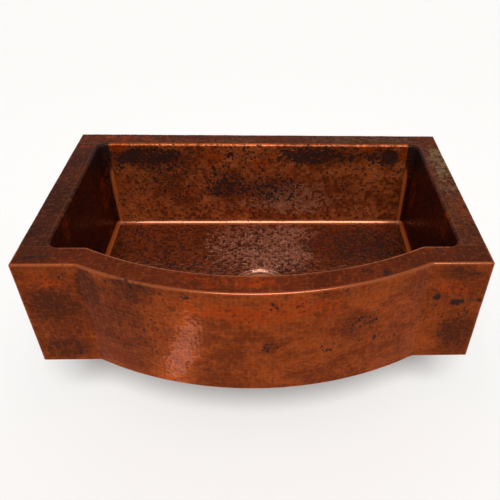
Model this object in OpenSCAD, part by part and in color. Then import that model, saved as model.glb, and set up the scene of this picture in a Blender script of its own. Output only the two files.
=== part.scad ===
// Apron-front kitchen sink, welded up from hammered copper sheet, with its basket drain.
// The origin lies on the drain's axis, in the plane of the basin floor's underside,
// where the cabinet's platform carries the sink. +X is to the right, +Y to the back.

/* [Sink] */
// Overall width from side to side
sink_w = 838; // [740:1:960]
// Depth from the two front flats to the back edge
sink_d = 483; // [430:1:580]
// Depth of the basin, from the rim's top to the floor
basin_depth = 216; // [170:1:230]
// Thickness of the copper sheet
sheet_t = 1.6; // [1.2:0.1:2.4]

/* [Apron] */
// Height of the apron, from the rim's top to its lower edge
apron_h = 241; // [200:1:300]
// Width of the flat at each end of the apron
apron_flat_w = 112; // [70:1:170]
// How far the bow stands forward of the flats
bow_rise = 76; // [40:1:110]
// Length of the apron's returns along the sides
return_w = 51; // [30:1:120]
// Width of the hem turned in along the apron's lower edge
hem_w = 16; // [8:1:30]

/* [Rim] */
// Width of the rim all round
rim_w = 51; // [40:1:70]
// Outside radius of the rim's outer edge
edge_r = 4; // [3:0.5:8]
// Height of the lip turned down at the sides and the back
lip_h = 25; // [12:1:50]
// Length of the back strip's ends along the sides
back_end_w = 51; // [30:1:120]
// Radius where the rim turns down into the basin
rim_bend_r = 6; // [4:0.5:12]

/* [Basin] */
// Width of the front wall's flat at each end
basin_flat_w = 68; // [45:1:110]
// How far the front wall bows forward of its flats
basin_bow_rise = 78; // [40:1:100]
// Lean of the walls from upright, in degrees
wall_draft = 2; // [0:0.5:5]
// Inside radius where the walls turn into the floor
floor_bend_r = 10; // [6:0.5:18]
// Radius of the floor's corners inside the bend
floor_corner_r = 3; // [2:0.5:30]

/* [Drain recess] */
// Distance of the drain's axis behind the front flats
drain_back = 175; // [110:1:300]
// Outer radius of the pressed recess round the drain
recess_r = 67; // [63:0.5:90]
// Depth of the recess below the floor
recess_depth = 5; // [3:0.5:7]
// Radius of the recess's upper shoulder
shoulder_r = 4; // [2.5:0.5:5]
// Steepest slope of the recess's side, in degrees
recess_slope = 60; // [50:5:70]
// Radius of the drain hole in the floor
drain_hole_r = 44.5; // [43.5:0.1:47]

/* [Strainer body] */
// Radius of the strainer's flange
flange_r = 57.15; // [52:0.05:58]
// Thickness of the flange
flange_t = 2.2; // [1.6:0.1:3.2]
// Outer radius of the strainer's threaded cup
cup_r = 42.5; // [41:0.1:43.4]
// Wall of the cup
cup_wall = 2; // [1.5:0.1:2.6]
// Depth of the cup, from the flange's top to the seat
cup_depth = 46; // [40:1:70]
// Thickness of the seat plate at the cup's bottom
seat_t = 2.5; // [1.6:0.1:4]
// Radius of the waste opening in the seat
waste_r = 21; // [16:0.5:22]
// Outer radius of the threaded outlet below the seat
outlet_r = 23.8; // [23:0.1:26]
// Length of the threaded outlet
outlet_len = 17; // [12:1:30]
// Width of the four spokes across the waste opening
spoke_w = 3; // [2:0.5:6]
// Outer radius of the hub that guides the basket's stem
hub_r = 7; // [5.5:0.5:9]
// Length of the hub
hub_len = 9; // [5:1:14]

/* [Seals and nuts] */
// Thickness of the putty bed under the flange
putty_t = 1; // [0.5:0.1:2]
// Thickness of the rubber gasket under the floor
gasket_t = 4; // [2:0.5:6]
// Outer radius of the rubber gasket
gasket_r = 57; // [50:0.5:62]
// Thickness of the fibre ring between gasket and locknut
fibre_t = 1; // [0.5:0.1:2]
// Outer radius of the locknut between its lugs
locknut_r = 52; // [48:0.5:56]
// Height of the locknut
locknut_h = 10; // [7:1:16]
// How far the locknut's lugs stand out
lug_out = 6; // [3:0.5:10]
// Width of each lug
lug_w = 12; // [6:1:20]
// Number of lugs on the locknut
lug_n = 6; // [4:1:8]
// Height of the coupling nut
coupling_h = 20; // [16:1:30]
// Size across the coupling nut's corners, as a radius
coupling_r = 31; // [29.5:0.5:38]
// Thickness of the coupling nut's lower lip
coupling_lip_t = 3; // [2:0.5:5]

/* [Tailpiece] */
// Outer radius of the tailpiece tube
tail_r = 19.05; // [15.9:0.05:20.5]
// Wall of the tube
tail_wall = 1.2; // [0.8:0.1:2]
// Length of the tailpiece with its flange
tail_len = 102; // [60:1:200]
// Outer radius of the tailpiece's flange
tail_flange_r = 23; // [22:0.1:23.6]
// Thickness of the tailpiece's flange
tail_flange_t = 1.6; // [1:0.1:3]
// Thickness of the washer between outlet and tailpiece
tail_washer_t = 2; // [1:0.5:3]

/* [Basket] */
// Radius of the basket's lip
basket_lip_r = 39; // [36:0.5:39.5]
// Radius of the basket's wall at its top
basket_top_r = 35.5; // [33:0.5:36]
// Radius of the basket's bottom
basket_base_r = 32; // [30:0.5:34]
// Height of the basket
basket_h = 31; // [24:1:36]
// Thickness of the basket's sheet
basket_t = 0.8; // [0.6:0.1:1.2]
// Number of slots in the basket's wall
slot_n = 18; // [8:1:24]
// Width of each slot
slot_w = 3; // [2:0.5:4]
// Height of each slot
slot_h = 15; // [8:1:17]
// Radius of the holes in the basket's bottom
drip_r = 2.2; // [1:0.1:2.6]
// Radius of the rubber stopper
stopper_r = 27; // [24:0.5:30]
// Thickness of the rubber stopper
stopper_t = 3.4; // [2.5:0.1:5]
// Radius of the basket's stem
stem_r = 3.1; // [2.5:0.1:4]
// Length of the stem below the seat's top
stem_tail = 13; // [11:1:20]
// Radius of the stem's flange under the stopper
stem_flange_r = 6; // [5:0.5:8]
// Thickness of the stem's flange
stem_flange_t = 1.2; // [0.8:0.1:2]
// Size across the stopper nut's corners, as a radius
stopper_nut_r = 6.5; // [5.5:0.5:9]
// Height of the stopper nut
stopper_nut_h = 3; // [2:0.5:5]
// Radius of the knob's grip
knob_r = 8.5; // [6:0.5:12]
// Height of the knob
knob_h = 15; // [13:1:20]

/* [Fits] */
// Radial running clearance of the stem in its hub
stem_gap = 0.1; // [0.02:0.01:0.1]
// Radial clearance of threads and loose washers
thread_gap = 0.1; // [0.05:0.05:0.3]
// Radial clearance of the coupling nut round the tailpiece
coupling_gap = 0.6; // [0.55:0.05:1.2]
// Gap between the stopper and its seat
seat_gap = 0.3; // [0.1:0.05:0.4]

/* [Hidden] */
$fn = 96;

copper = [0.50, 0.20, 0.09];
dark_copper = [0.34, 0.14, 0.08];
light_copper = [0.62, 0.29, 0.13];
// Longer than anything in the sink
far = 2000;
// How far a cut runs past what it cuts
over = 1;
// Overlap of two stretches of one sheet
lap = 2;
// How far a bow turns past each of its mitres before it is cut there, in degrees
spare_turn = 2;
// Number of flats along each small bend of the sheet
bend_steps = 8;
// How far the hem stops short of each kink, and how far it lies above the apron's edge
hem_notch = 5;
hem_lift = 0.4;
// Radius of the strainer's mouth, and the width of the flange's falling edge
mouth_r = 4;
flange_fall = 6;
// Bevel at the foot of the strainer's cup
cup_bevel = 4;
// How far the flange's edge covers the putty bed
putty_inset = 1;
// How deep the lugs root in the locknut
lug_root = 4;
// Bend at the foot of the basket, and where its slots start above its bottom
basket_bend_r = 3;
slot_start = 6;
// Number of holes and radius of each ring in the basket's bottom
drip_rings = [[8, 14], [14, 22]];
// How far the knob stands above the basket, and its wall round the stem
knob_rise = 4;
knob_wall = 1.9;

// The top of the rim, from the floor's underside
rim_z = basin_depth + sheet_t;
// Half width of the basin at the rim
basin_half_w = sink_w / 2 - rim_w;
// Where the back wall starts, behind the front flats
basin_back_y = sink_d - rim_w;

// The apron's bow is an arc through the ends of the flats and the foremost point
apron_kink_x = sink_w / 2 - apron_flat_w;
apron_bow_r = arc_radius(apron_kink_x, bow_rise);
apron_bow_y = apron_bow_r - bow_rise;
// Plan slope of the mitre between flat and bow
apron_mitre = tan(asin(apron_kink_x / apron_bow_r) / 2);

// The basin's front wall has a bow of its own
basin_kink_x = basin_half_w - basin_flat_w;
basin_bow_r = arc_radius(basin_kink_x, basin_bow_rise);
basin_bow_y = rim_w + basin_bow_r - basin_bow_rise;
basin_mitre = tan(asin(basin_kink_x / basin_bow_r) / 2);

// Length of the wall's flat part, and how far in the floor starts
wall_run = (basin_depth - rim_bend_r - floor_bend_r + (rim_bend_r + floor_bend_r) * sin(wall_draft))
    / cos(wall_draft);
floor_in = rim_bend_r * (cos(wall_draft) - 1) + wall_run * sin(wall_draft)
    + floor_bend_r * cos(wall_draft);
basin_corner_r = floor_corner_r + floor_in;

// The recess's side is an S of two bends, the shoulder and the foot
recess_bends = recess_depth / (1 - cos(recess_slope));
foot_r = recess_bends - shoulder_r;
recess_run = recess_bends * sin(recess_slope);

// Heights in the drain, from the floor's underside
seat_face_z = sheet_t - recess_depth;
flange_z = seat_face_z + putty_t;
drain_top = flange_z + flange_t;
seat_z = drain_top - cup_depth;
outlet_z = seat_z - seat_t - outlet_len;
gasket_z = seat_face_z - sheet_t - gasket_t;
fibre_z = gasket_z - fibre_t;
locknut_z = fibre_z - locknut_h;
tail_washer_z = outlet_z - tail_washer_t;
tail_top = tail_washer_z;
coupling_z = tail_top - tail_flange_t - coupling_lip_t;
cup_bore_r = cup_r - cup_wall;
hub_bore_r = stem_r + stem_gap;
collar_r = cup_r + thread_gap;

// Heights in the basket
stopper_z = seat_z + seat_gap;
basket_z = stopper_z + stopper_t;
basket_top = basket_z + basket_h;
stopper_nut_z = basket_z + basket_t;
knob_z = basket_top - knob_h + knob_rise;

function arc_radius(half_chord, rise) = (half_chord * half_chord + rise * rise) / (2 * rise);

// Points along an arc about a centre, ends included
function arc(centre, r, from, to) =
    [for (i = [0:bend_steps]) centre + r * unit(from + (to - from) * i / bend_steps)];

function unit(angle) = [cos(angle), sin(angle)];

// The plan and height of the sheet work, with the front flats at y = 0 and the rim's top at z = 0
module on_rim() {
    translate([0, -drain_back, rim_z]) children();
}

// Plan of the sink's outline, set in by a distance
module outline_area(inset) {
    half_w = sink_w / 2 - inset;
    translate([-half_w, inset]) square([2 * half_w, sink_d - 2 * inset]);
    intersection() {
        translate([0, apron_bow_y]) circle(apron_bow_r - inset, $fn = 360);
        translate([-half_w, -bow_rise]) square([2 * half_w, bow_rise + inset + over]);
    }
}

// Plan of the basin's opening, grown outwards by a distance
module basin_area(grow) {
    corner_r = basin_corner_r + grow;
    half_w = basin_half_w + grow;
    front = rim_w - grow;
    depth = basin_back_y - rim_w + 2 * grow;
    translate([-half_w + corner_r, front]) square([2 * (half_w - corner_r), depth]);
    translate([-half_w, front + corner_r]) square([2 * half_w, depth - 2 * corner_r]);
    for (side = [-1, 1], end = [corner_r, depth - corner_r])
        translate([side * (half_w - corner_r), front + end]) circle(corner_r);
    intersection() {
        translate([0, basin_bow_y]) circle(basin_bow_r + grow, $fn = 360);
        translate([-half_w, front - basin_bow_rise - over])
            square([2 * half_w, basin_bow_rise + 2 * over]);
    }
}

// Section of a basin wall: x is inwards from the rim's inner edge, y is upwards
module wall_section() {
    top = [-rim_bend_r, -rim_bend_r];
    foot = [floor_in, -basin_depth + floor_bend_r];
    polygon(concat(
        arc(top, rim_bend_r, 90, wall_draft),
        arc(foot, floor_bend_r, 180 + wall_draft, 270),
        arc(foot, floor_bend_r + sheet_t, 270, 180 + wall_draft),
        arc(top, rim_bend_r - sheet_t, wall_draft, 90)
    ));
}

// Section of a rolled edge with a skirt: x is outwards from the edge's tangent line
module edge_section(skirt_h) {
    centre = [0, -edge_r];
    polygon(concat(
        arc(centre, edge_r, 90, 0),
        [[edge_r, -skirt_h], [edge_r - sheet_t, -skirt_h]],
        arc(centre, edge_r - sheet_t, 0, 90)
    ));
}

// Runs a section along +X, with the section's x towards +Y
module along_x(length) {
    rotate([90, 0, 90]) linear_extrude(length) children();
}

// Runs a section along +Y, with the section's x towards +X
module along_y(length) {
    translate([0, length, 0]) rotate([90, 0, 0]) linear_extrude(length) children();
}

// Plan of what lies between the two mitres of a bow, or of what lies to their right
module between_mitres(kink_x, slope, at_y) {
    polygon([
        [-kink_x - slope * far, at_y - far],
        [kink_x + slope * far, at_y - far],
        [kink_x - slope * kink_x, at_y + kink_x],
        [-kink_x + slope * kink_x, at_y + kink_x]
    ]);
}

module beyond_mitre(kink_x, slope, at_y) {
    polygon([
        [kink_x + slope * far, at_y - far],
        [2 * far, at_y - far],
        [2 * far, at_y + kink_x],
        [kink_x - slope * kink_x, at_y + kink_x]
    ]);
}

module tall(z0, z1) {
    translate([0, 0, z0]) linear_extrude(z1 - z0) children();
}

// One quarter of a turn of a section about a corner's axis, starting towards an angle
module corner_turn(x, y, start) {
    translate([x, y, 0]) rotate([0, 0, start]) rotate_extrude(angle = 90) children();
}

module basin_floor() {
    color(copper) on_rim() {
        translate([0, 0, -basin_depth - sheet_t]) linear_extrude(sheet_t) difference() {
            basin_area(-floor_in);
            translate([0, drain_back]) circle(recess_r + lap / 2, $fn = 180);
        }
        translate([0, drain_back, -basin_depth]) rotate_extrude($fn = 180) recess_section();
    }
}

// Section of the pressed recess: the shoulder, the foot and the seat round the hole
module recess_section() {
    top = [recess_r, -shoulder_r];
    foot = [recess_r - recess_run, foot_r - recess_depth];
    polygon(concat(
        arc(top, shoulder_r, 90, 90 + recess_slope),
        arc(foot, foot_r, 270 + recess_slope, 270),
        [[drain_hole_r, -recess_depth], [drain_hole_r, -recess_depth - sheet_t]],
        arc(foot, foot_r + sheet_t, 270, 270 + recess_slope),
        arc(top, shoulder_r - sheet_t, 90 + recess_slope, 90),
        [[recess_r + lap, -sheet_t], [recess_r + lap, 0]]
    ));
}

module basin_back_wall() {
    length = 2 * (basin_half_w - basin_corner_r);
    color(copper) on_rim()
        translate([-length / 2, basin_back_y, 0]) mirror([0, 1, 0]) along_x(length) wall_section();
}

// The left wall takes both of its corners with it, and its back half mirrors its front half
module left_wall_half() {
    front = rim_w + basin_corner_r;
    middle = (rim_w + basin_back_y) / 2;
    translate([-basin_half_w, front, 0]) along_y(middle - front + lap / 2) wall_section();
    corner_turn(-basin_half_w + basin_corner_r, front, 180)
        translate([basin_corner_r, 0]) mirror([1, 0]) wall_section();
}

module left_wall_shape() {
    left_wall_half();
    translate([0, rim_w + basin_back_y, 0]) mirror([0, 1, 0]) left_wall_half();
}

module basin_left_wall() {
    color(copper) on_rim() left_wall_shape();
}

module basin_right_wall() {
    color(copper) on_rim() mirror([1, 0, 0]) left_wall_shape();
}

module basin_front_wall() {
    end_x = basin_half_w - basin_corner_r;
    half_turn = asin(basin_kink_x / basin_bow_r) + spare_turn;
    z0 = -basin_depth - sheet_t - over;
    color(copper) on_rim() {
        intersection() {
            translate([0, basin_bow_y, 0]) rotate([0, 0, 270 - half_turn])
                rotate_extrude(angle = 2 * half_turn, $fn = 360)
                    translate([basin_bow_r, 0]) mirror([1, 0]) wall_section();
            tall(z0, over) between_mitres(basin_kink_x, basin_mitre, rim_w);
        }
        for (side = [0, 1]) mirror([side, 0, 0]) intersection() {
            translate([0, rim_w, 0]) along_x(end_x) wall_section();
            tall(z0, over) beyond_mitre(basin_kink_x, basin_mitre, rim_w);
        }
    }
}

// The flat of the rim, between its outer edge and the bend into the basin
module rim_flat(y0, y1, x0, x1) {
    translate([0, 0, -sheet_t]) linear_extrude(sheet_t) intersection() {
        difference() {
            outline_area(edge_r);
            basin_area(rim_bend_r);
        }
        translate([x0, y0]) square([x1 - x0, y1 - y0]);
    }
}

module rim_back() {
    half_w = sink_w / 2 - edge_r;
    start = sink_d - back_end_w;
    back = sink_d - edge_r;
    color(dark_copper) on_rim() {
        rim_flat(start, sink_d, -sink_w, sink_w);
        translate([-half_w, back, 0]) along_x(2 * half_w) edge_section(lip_h);
        for (side = [0, 1]) mirror([side, 0, 0]) {
            translate([half_w, start, 0]) along_y(back - start) edge_section(lip_h);
            corner_turn(half_w, back, 0) edge_section(lip_h);
        }
    }
}

module right_strip_shape() {
    end = sink_d - back_end_w;
    rim_flat(return_w, end, 0, sink_w);
    translate([sink_w / 2 - edge_r, return_w, 0])
        along_y(end - return_w) edge_section(lip_h);
}

module rim_left() {
    color(dark_copper) on_rim() mirror([1, 0, 0]) right_strip_shape();
}

module rim_right() {
    color(dark_copper) on_rim() right_strip_shape();
}

module rim_front() {
    color(dark_copper) on_rim() rim_flat(-sink_d, return_w, -sink_w, sink_w);
}

// The hem is turned in along the bow and the flats, and is notched where they meet
module apron_hem() {
    embed = sheet_t / 2;
    half_turn = asin(apron_kink_x / apron_bow_r) - hem_notch / apron_bow_r * 180 / PI;
    z0 = hem_lift - apron_h;
    translate([0, apron_bow_y, z0]) rotate([0, 0, 270 - half_turn])
        rotate_extrude(angle = 2 * half_turn, $fn = 360)
            translate([apron_bow_r - hem_w, 0]) square([hem_w - embed, sheet_t]);
    for (side = [0, 1]) mirror([side, 0, 0])
        translate([apron_kink_x + hem_notch, embed, z0])
            cube([apron_flat_w - hem_notch - edge_r, hem_w - embed, sheet_t]);
}

module apron_front() {
    half_w = sink_w / 2 - edge_r;
    half_turn = asin(apron_kink_x / apron_bow_r) + spare_turn;
    z0 = -apron_h - over;
    color(light_copper) on_rim() {
        apron_hem();
        intersection() {
            translate([0, apron_bow_y, 0]) rotate([0, 0, 270 - half_turn])
                rotate_extrude(angle = 2 * half_turn, $fn = 360)
                    translate([apron_bow_r - edge_r, 0]) edge_section(apron_h);
            tall(z0, over) between_mitres(apron_kink_x, apron_mitre, 0);
        }
        for (side = [0, 1]) mirror([side, 0, 0]) {
            intersection() {
                translate([0, edge_r, 0]) mirror([0, 1, 0]) along_x(half_w) edge_section(apron_h);
                tall(z0, over) beyond_mitre(apron_kink_x, apron_mitre, 0);
            }
            translate([half_w, edge_r, 0]) along_y(return_w - edge_r) edge_section(apron_h);
            corner_turn(half_w, edge_r, 270) edge_section(apron_h);
        }
    }
}

module ring(r_in, r_out, height, z) {
    translate([0, 0, z]) difference() {
        cylinder(r = r_out, h = height);
        translate([0, 0, -over]) cylinder(r = r_in, h = height + 2 * over);
    }
}

// The flange's top falls away to its edge and rounds over into the cup
module strainer_section() {
    polygon(concat(
        [
            [waste_r, outlet_z],
            [outlet_r, outlet_z],
            [outlet_r, seat_z - seat_t],
            [cup_r - cup_bevel, seat_z - seat_t],
            [cup_r, seat_z - seat_t + cup_bevel],
            [cup_r, flange_z],
            [flange_r, flange_z],
            [flange_r, flange_z + flange_t / 3],
            [flange_r - flange_fall / 3, drain_top - flange_t / 4],
            [flange_r - flange_fall, drain_top]
        ],
        arc([cup_bore_r + mouth_r, drain_top - mouth_r], mouth_r, 90, 180),
        [[cup_bore_r, seat_z], [waste_r, seat_z]]
    ));
}

module strainer_body() {
    hub_z = seat_z - hub_len;
    color(light_copper) difference() {
        union() {
            rotate_extrude() strainer_section();
            translate([0, 0, hub_z]) cylinder(r = hub_r, h = hub_len);
            intersection() {
                for (turn = [45, 135]) rotate([0, 0, turn])
                    translate([-waste_r - lap, -spoke_w / 2, seat_z - seat_t])
                        cube([2 * (waste_r + lap), spoke_w, seat_t]);
                translate([0, 0, hub_z]) cylinder(r = waste_r + lap / 2, h = hub_len);
            }
        }
        translate([0, 0, hub_z - over]) cylinder(r = hub_bore_r, h = hub_len + 2 * over);
    }
}

module putty_ring() {
    color([0.72, 0.66, 0.55]) ring(collar_r, flange_r - putty_inset, putty_t, seat_face_z);
}

module rubber_gasket() {
    color([0.10, 0.10, 0.10]) ring(collar_r, gasket_r, gasket_t, gasket_z);
}

module fibre_ring() {
    color([0.55, 0.42, 0.30]) ring(collar_r, locknut_r, fibre_t, fibre_z);
}

module locknut() {
    color([0.60, 0.58, 0.54]) translate([0, 0, locknut_z]) difference() {
        union() {
            cylinder(r = locknut_r, h = locknut_h);
            for (i = [0:lug_n - 1]) rotate([0, 0, i * 360 / lug_n])
                translate([locknut_r - lug_root, -lug_w / 2, 0])
                    cube([lug_out + lug_root, lug_w, locknut_h]);
        }
        translate([0, 0, -over]) cylinder(r = collar_r, h = locknut_h + 2 * over);
    }
}

module tailpiece_washer() {
    color([0.85, 0.84, 0.80]) ring(tail_r - tail_wall, tail_flange_r, tail_washer_t, tail_washer_z);
}

module tailpiece() {
    bore_r = tail_r - tail_wall;
    color(light_copper) difference() {
        union() {
            translate([0, 0, tail_top - tail_len]) cylinder(r = tail_r, h = tail_len);
            translate([0, 0, tail_top - tail_flange_t]) cylinder(r = tail_flange_r, h = tail_flange_t);
        }
        translate([0, 0, tail_top - tail_len - over]) cylinder(r = bore_r, h = tail_len + 2 * over);
    }
}

module coupling_nut() {
    thread_z = coupling_z + coupling_lip_t;
    color(light_copper) difference() {
        translate([0, 0, coupling_z]) cylinder(r = coupling_r, h = coupling_h, $fn = 6);
        translate([0, 0, thread_z]) cylinder(r = outlet_r + thread_gap, h = coupling_h);
        translate([0, 0, coupling_z - over]) cylinder(r = tail_r + coupling_gap, h = coupling_h);
    }
}

// Section of the basket's sheet: the bottom, the wall and the lip turned out
module basket_section() {
    polygon([
        [0, 0],
        [basket_base_r - basket_bend_r, 0],
        [basket_base_r, basket_bend_r],
        [basket_top_r, basket_h - basket_t],
        [basket_lip_r, basket_h - basket_t],
        [basket_lip_r, basket_h],
        [basket_top_r - basket_t, basket_h],
        [basket_base_r - basket_t, basket_bend_r + basket_t / 2],
        [basket_base_r - basket_bend_r - basket_t / 2, basket_t],
        [0, basket_t]
    ]);
}

module wall_slots() {
    low = slot_start + slot_w / 2;
    from = basket_base_r / 2;
    for (i = [0:slot_n - 1]) rotate([0, 0, i * 360 / slot_n]) {
        for (z = [low, low + slot_h - slot_w])
            translate([from, 0, z]) rotate([0, 90, 0])
                cylinder(r = slot_w / 2, h = basket_lip_r - from, $fn = 24);
        translate([from, -slot_w / 2, low]) cube([basket_lip_r - from, slot_w, slot_h - slot_w]);
    }
}

// The bottom's holes, in rings outside the stopper nut
module drip_holes() {
    for (row = drip_rings)
        for (i = [0:row[0] - 1]) rotate([0, 0, i * 360 / row[0]])
            translate([row[1], 0, -over]) cylinder(r = drip_r, h = basket_t + 2 * over, $fn = 24);
}

// The hole for the stem through a piece of some thickness that starts at z = 0
module stem_hole(thickness) {
    translate([0, 0, -over])
        cylinder(r = stem_r + thread_gap, h = thickness + 2 * over, $fn = 48);
}

module basket_cup() {
    color(light_copper) translate([0, 0, basket_z]) difference() {
        rotate_extrude() basket_section();
        stem_hole(basket_t);
        drip_holes();
        wall_slots();
    }
}

// The stopper is recessed below for the stem's flange
module basket_stopper() {
    color([0.10, 0.10, 0.10]) translate([0, 0, stopper_z]) difference() {
        cylinder(r = stopper_r, h = stopper_t);
        stem_hole(stopper_t);
        translate([0, 0, -over]) cylinder(r = stem_flange_r + thread_gap, h = stem_flange_t + over);
    }
}

module stopper_nut() {
    color([0.72, 0.60, 0.35]) translate([0, 0, stopper_nut_z]) difference() {
        cylinder(r = stopper_nut_r, h = stopper_nut_h, $fn = 6);
        stem_hole(stopper_nut_h);
    }
}

// The stem is screwed up to its full width into the knob
module basket_stem() {
    low = seat_z - stem_tail;
    color([0.72, 0.60, 0.35]) {
        translate([0, 0, low]) cylinder(r = stem_r, h = knob_z + knob_h / 2 - low);
        translate([0, 0, stopper_z]) cylinder(r = stem_flange_r, h = stem_flange_t);
    }
}

// A turned knob: a foot, a waist and a domed grip, with a blind hole for the stem
module basket_knob() {
    waist_r = stem_r + knob_wall;
    grip_h = knob_h / 3;
    color(light_copper) translate([0, 0, knob_z]) difference() {
        union() {
            cylinder(r1 = waist_r + knob_wall / 2, r2 = waist_r, h = knob_h - 2 * grip_h);
            translate([0, 0, knob_h - 2 * grip_h]) cylinder(r1 = waist_r, r2 = knob_r, h = grip_h);
            translate([0, 0, knob_h - grip_h]) intersection() {
                cylinder(r = knob_r, h = grip_h);
                translate([0, 0, grip_h - 2 * knob_r]) sphere(2 * knob_r);
            }
        }
        translate([0, 0, -over]) cylinder(r = stem_r, h = knob_h / 2 + over, $fn = 48);
    }
}

basin_floor();
basin_back_wall();
basin_left_wall();
basin_right_wall();
basin_front_wall();
rim_back();
rim_left();
rim_right();
rim_front();
apron_front();
strainer_body();
putty_ring();
rubber_gasket();
fibre_ring();
locknut();
tailpiece_washer();
coupling_nut();
tailpiece();
basket_cup();
basket_stopper();
stopper_nut();
basket_stem();
basket_knob();
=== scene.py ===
"""Dresses the hammered copper sink: its sheets, its drain, its basket and a plain stage."""

import math

import bpy
import numpy as np
from bpy.props import FloatProperty, FloatVectorProperty, IntProperty, PointerProperty
from mathutils import Matrix, Vector
from mathutils.geometry import delaunay_2d_cdt
from mathutils.kdtree import KDTree


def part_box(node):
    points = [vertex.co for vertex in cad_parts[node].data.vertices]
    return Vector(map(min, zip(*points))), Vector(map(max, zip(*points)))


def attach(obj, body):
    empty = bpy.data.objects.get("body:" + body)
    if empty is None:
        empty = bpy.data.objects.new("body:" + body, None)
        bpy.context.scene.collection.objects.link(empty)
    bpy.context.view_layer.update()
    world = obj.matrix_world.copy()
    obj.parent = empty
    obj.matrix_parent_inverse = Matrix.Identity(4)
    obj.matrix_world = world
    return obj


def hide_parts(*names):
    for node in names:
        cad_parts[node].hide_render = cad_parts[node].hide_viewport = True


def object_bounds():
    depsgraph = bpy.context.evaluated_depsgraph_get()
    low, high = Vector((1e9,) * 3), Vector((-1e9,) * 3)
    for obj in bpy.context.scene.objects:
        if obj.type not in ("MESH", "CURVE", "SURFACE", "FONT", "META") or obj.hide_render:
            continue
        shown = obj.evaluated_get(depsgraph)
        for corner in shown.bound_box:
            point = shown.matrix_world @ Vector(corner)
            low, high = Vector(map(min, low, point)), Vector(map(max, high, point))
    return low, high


bl_info = {
    "name": "Hammered Copper Sink",
    "version": (1, 0, 0),
    "blender": (4, 5, 0),
    "location": "3D View > Sidebar > Sink",
    "description": "Builds an apron-front sink of hammered copper with its basket drain",
    "category": "Add Mesh",
}

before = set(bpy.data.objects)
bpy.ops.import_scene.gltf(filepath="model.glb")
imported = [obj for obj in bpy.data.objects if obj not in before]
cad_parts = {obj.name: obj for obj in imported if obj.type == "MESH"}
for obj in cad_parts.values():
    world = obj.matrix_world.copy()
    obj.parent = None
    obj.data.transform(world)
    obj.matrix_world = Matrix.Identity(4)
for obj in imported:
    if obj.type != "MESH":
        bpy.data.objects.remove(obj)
CAD_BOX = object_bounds()

MM = 0.001
SINK, BASKET = "sink", "basket"
# A small length, for slopes and for points that count as one
NUDGE = 0.01 * MM
# Sockets of a Mix node for colours, by number because several share a name
MIX_SHARE, MIX_LOW, MIX_HIGH, MIX_COLOUR = 0, 6, 7, 2
# Height of a triangle with equal sides, so how far apart the rows of a mesh are
ROW = math.sqrt(0.75)


# Properties


def length(name, description, millimetres):
    return FloatProperty(name=name, description=description, default=millimetres * MM, unit="LENGTH")


def colour_property(name, description, value):
    return FloatVectorProperty(
        name=name, description=description, default=value, size=3, subtype="COLOR", min=0, max=1
    )


class SheetSizes(bpy.types.PropertyGroup):
    """Sizes of the copper sheet work."""

    sheet: length("Sheet", "Thickness of the sheet", 1.6)
    rim: length("Rim", "Width of the rim", 51)
    edge: length("Edge", "Radius of the rim's outer edge", 4)
    lip: length("Lip", "Height of the turned lip", 25)
    hem: length("Hem", "Width of the apron's hem", 16)
    bow: length("Bow", "How far the apron bows out", 76)
    flat: length("Flat", "Width of the apron's flats", 112)
    basin_bow: length("Basin bow", "How far the front wall bows out", 78)
    basin_flat: length("Basin flat", "Width of the front wall's flats", 68)
    rim_bend: length("Rim bend", "Radius of the bend into the basin", 6)
    floor_bend: length("Floor bend", "Radius of the bend into the floor", 10)
    corner: length("Corner", "Radius of the floor's corners", 3)
    draft: FloatProperty(
        name="Draft", description="Lean of the walls", default=math.radians(2), subtype="ANGLE"
    )
    kink: length("Kink", "Softness of the kinks beside the bow", 2.2)


class HammerMarks(bpy.types.PropertyGroup):
    """The marks of the hammer, and how finely they are meshed."""

    pitch: length("Pitch", "Distance between two marks", 7.8)
    depth: length("Depth", "Depth of a mark", 0.5)
    wave: length("Wave", "Height of the sheet's slow waves", 0.35)
    spacing: length("Spacing", "Distance between two points of the mesh", 1.9)
    back_spacing: length("Back spacing", "Distance between the points behind", 9)
    seed: IntProperty(name="Seed", description="Seed of the marks", default=7)


class PatinaColours(bpy.types.PropertyGroup):
    """Colours of the fired patina, with a painted sheen, glint and highlight."""

    copper: colour_property("Copper", "Fired copper", (0.255, 0.045, 0.006))
    ember: colour_property("Ember", "Bright orange-red copper", (0.26, 0.030, 0.001))
    brown: colour_property("Brown", "Brown copper", (0.160, 0.029, 0.006))
    maroon: colour_property("Maroon", "Dark red-brown copper", (0.052, 0.010, 0.004))
    char: colour_property("Char", "Black scale", (0.020, 0.008, 0.007))
    # A painted sheen: pale pink where light glances off the floor and the lit walls
    sheen_rose: colour_property("Rose", "Pale worn copper", (0.30, 0.112, 0.058))
    olive: colour_property("Olive", "Olive tint", (0.095, 0.045, 0.020))
    # Rubbed copper along bends and ridges, lighter also as a painted highlight
    rubbed_and_lit: colour_property("Rubbed", "Rubbed copper along bends", (0.32, 0.085, 0.022))
    # A painted glint on the ridges of the sheen patches
    glint_colour: colour_property("Pale", "Bare ridges of dull patches", (0.44, 0.24, 0.17))


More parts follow.
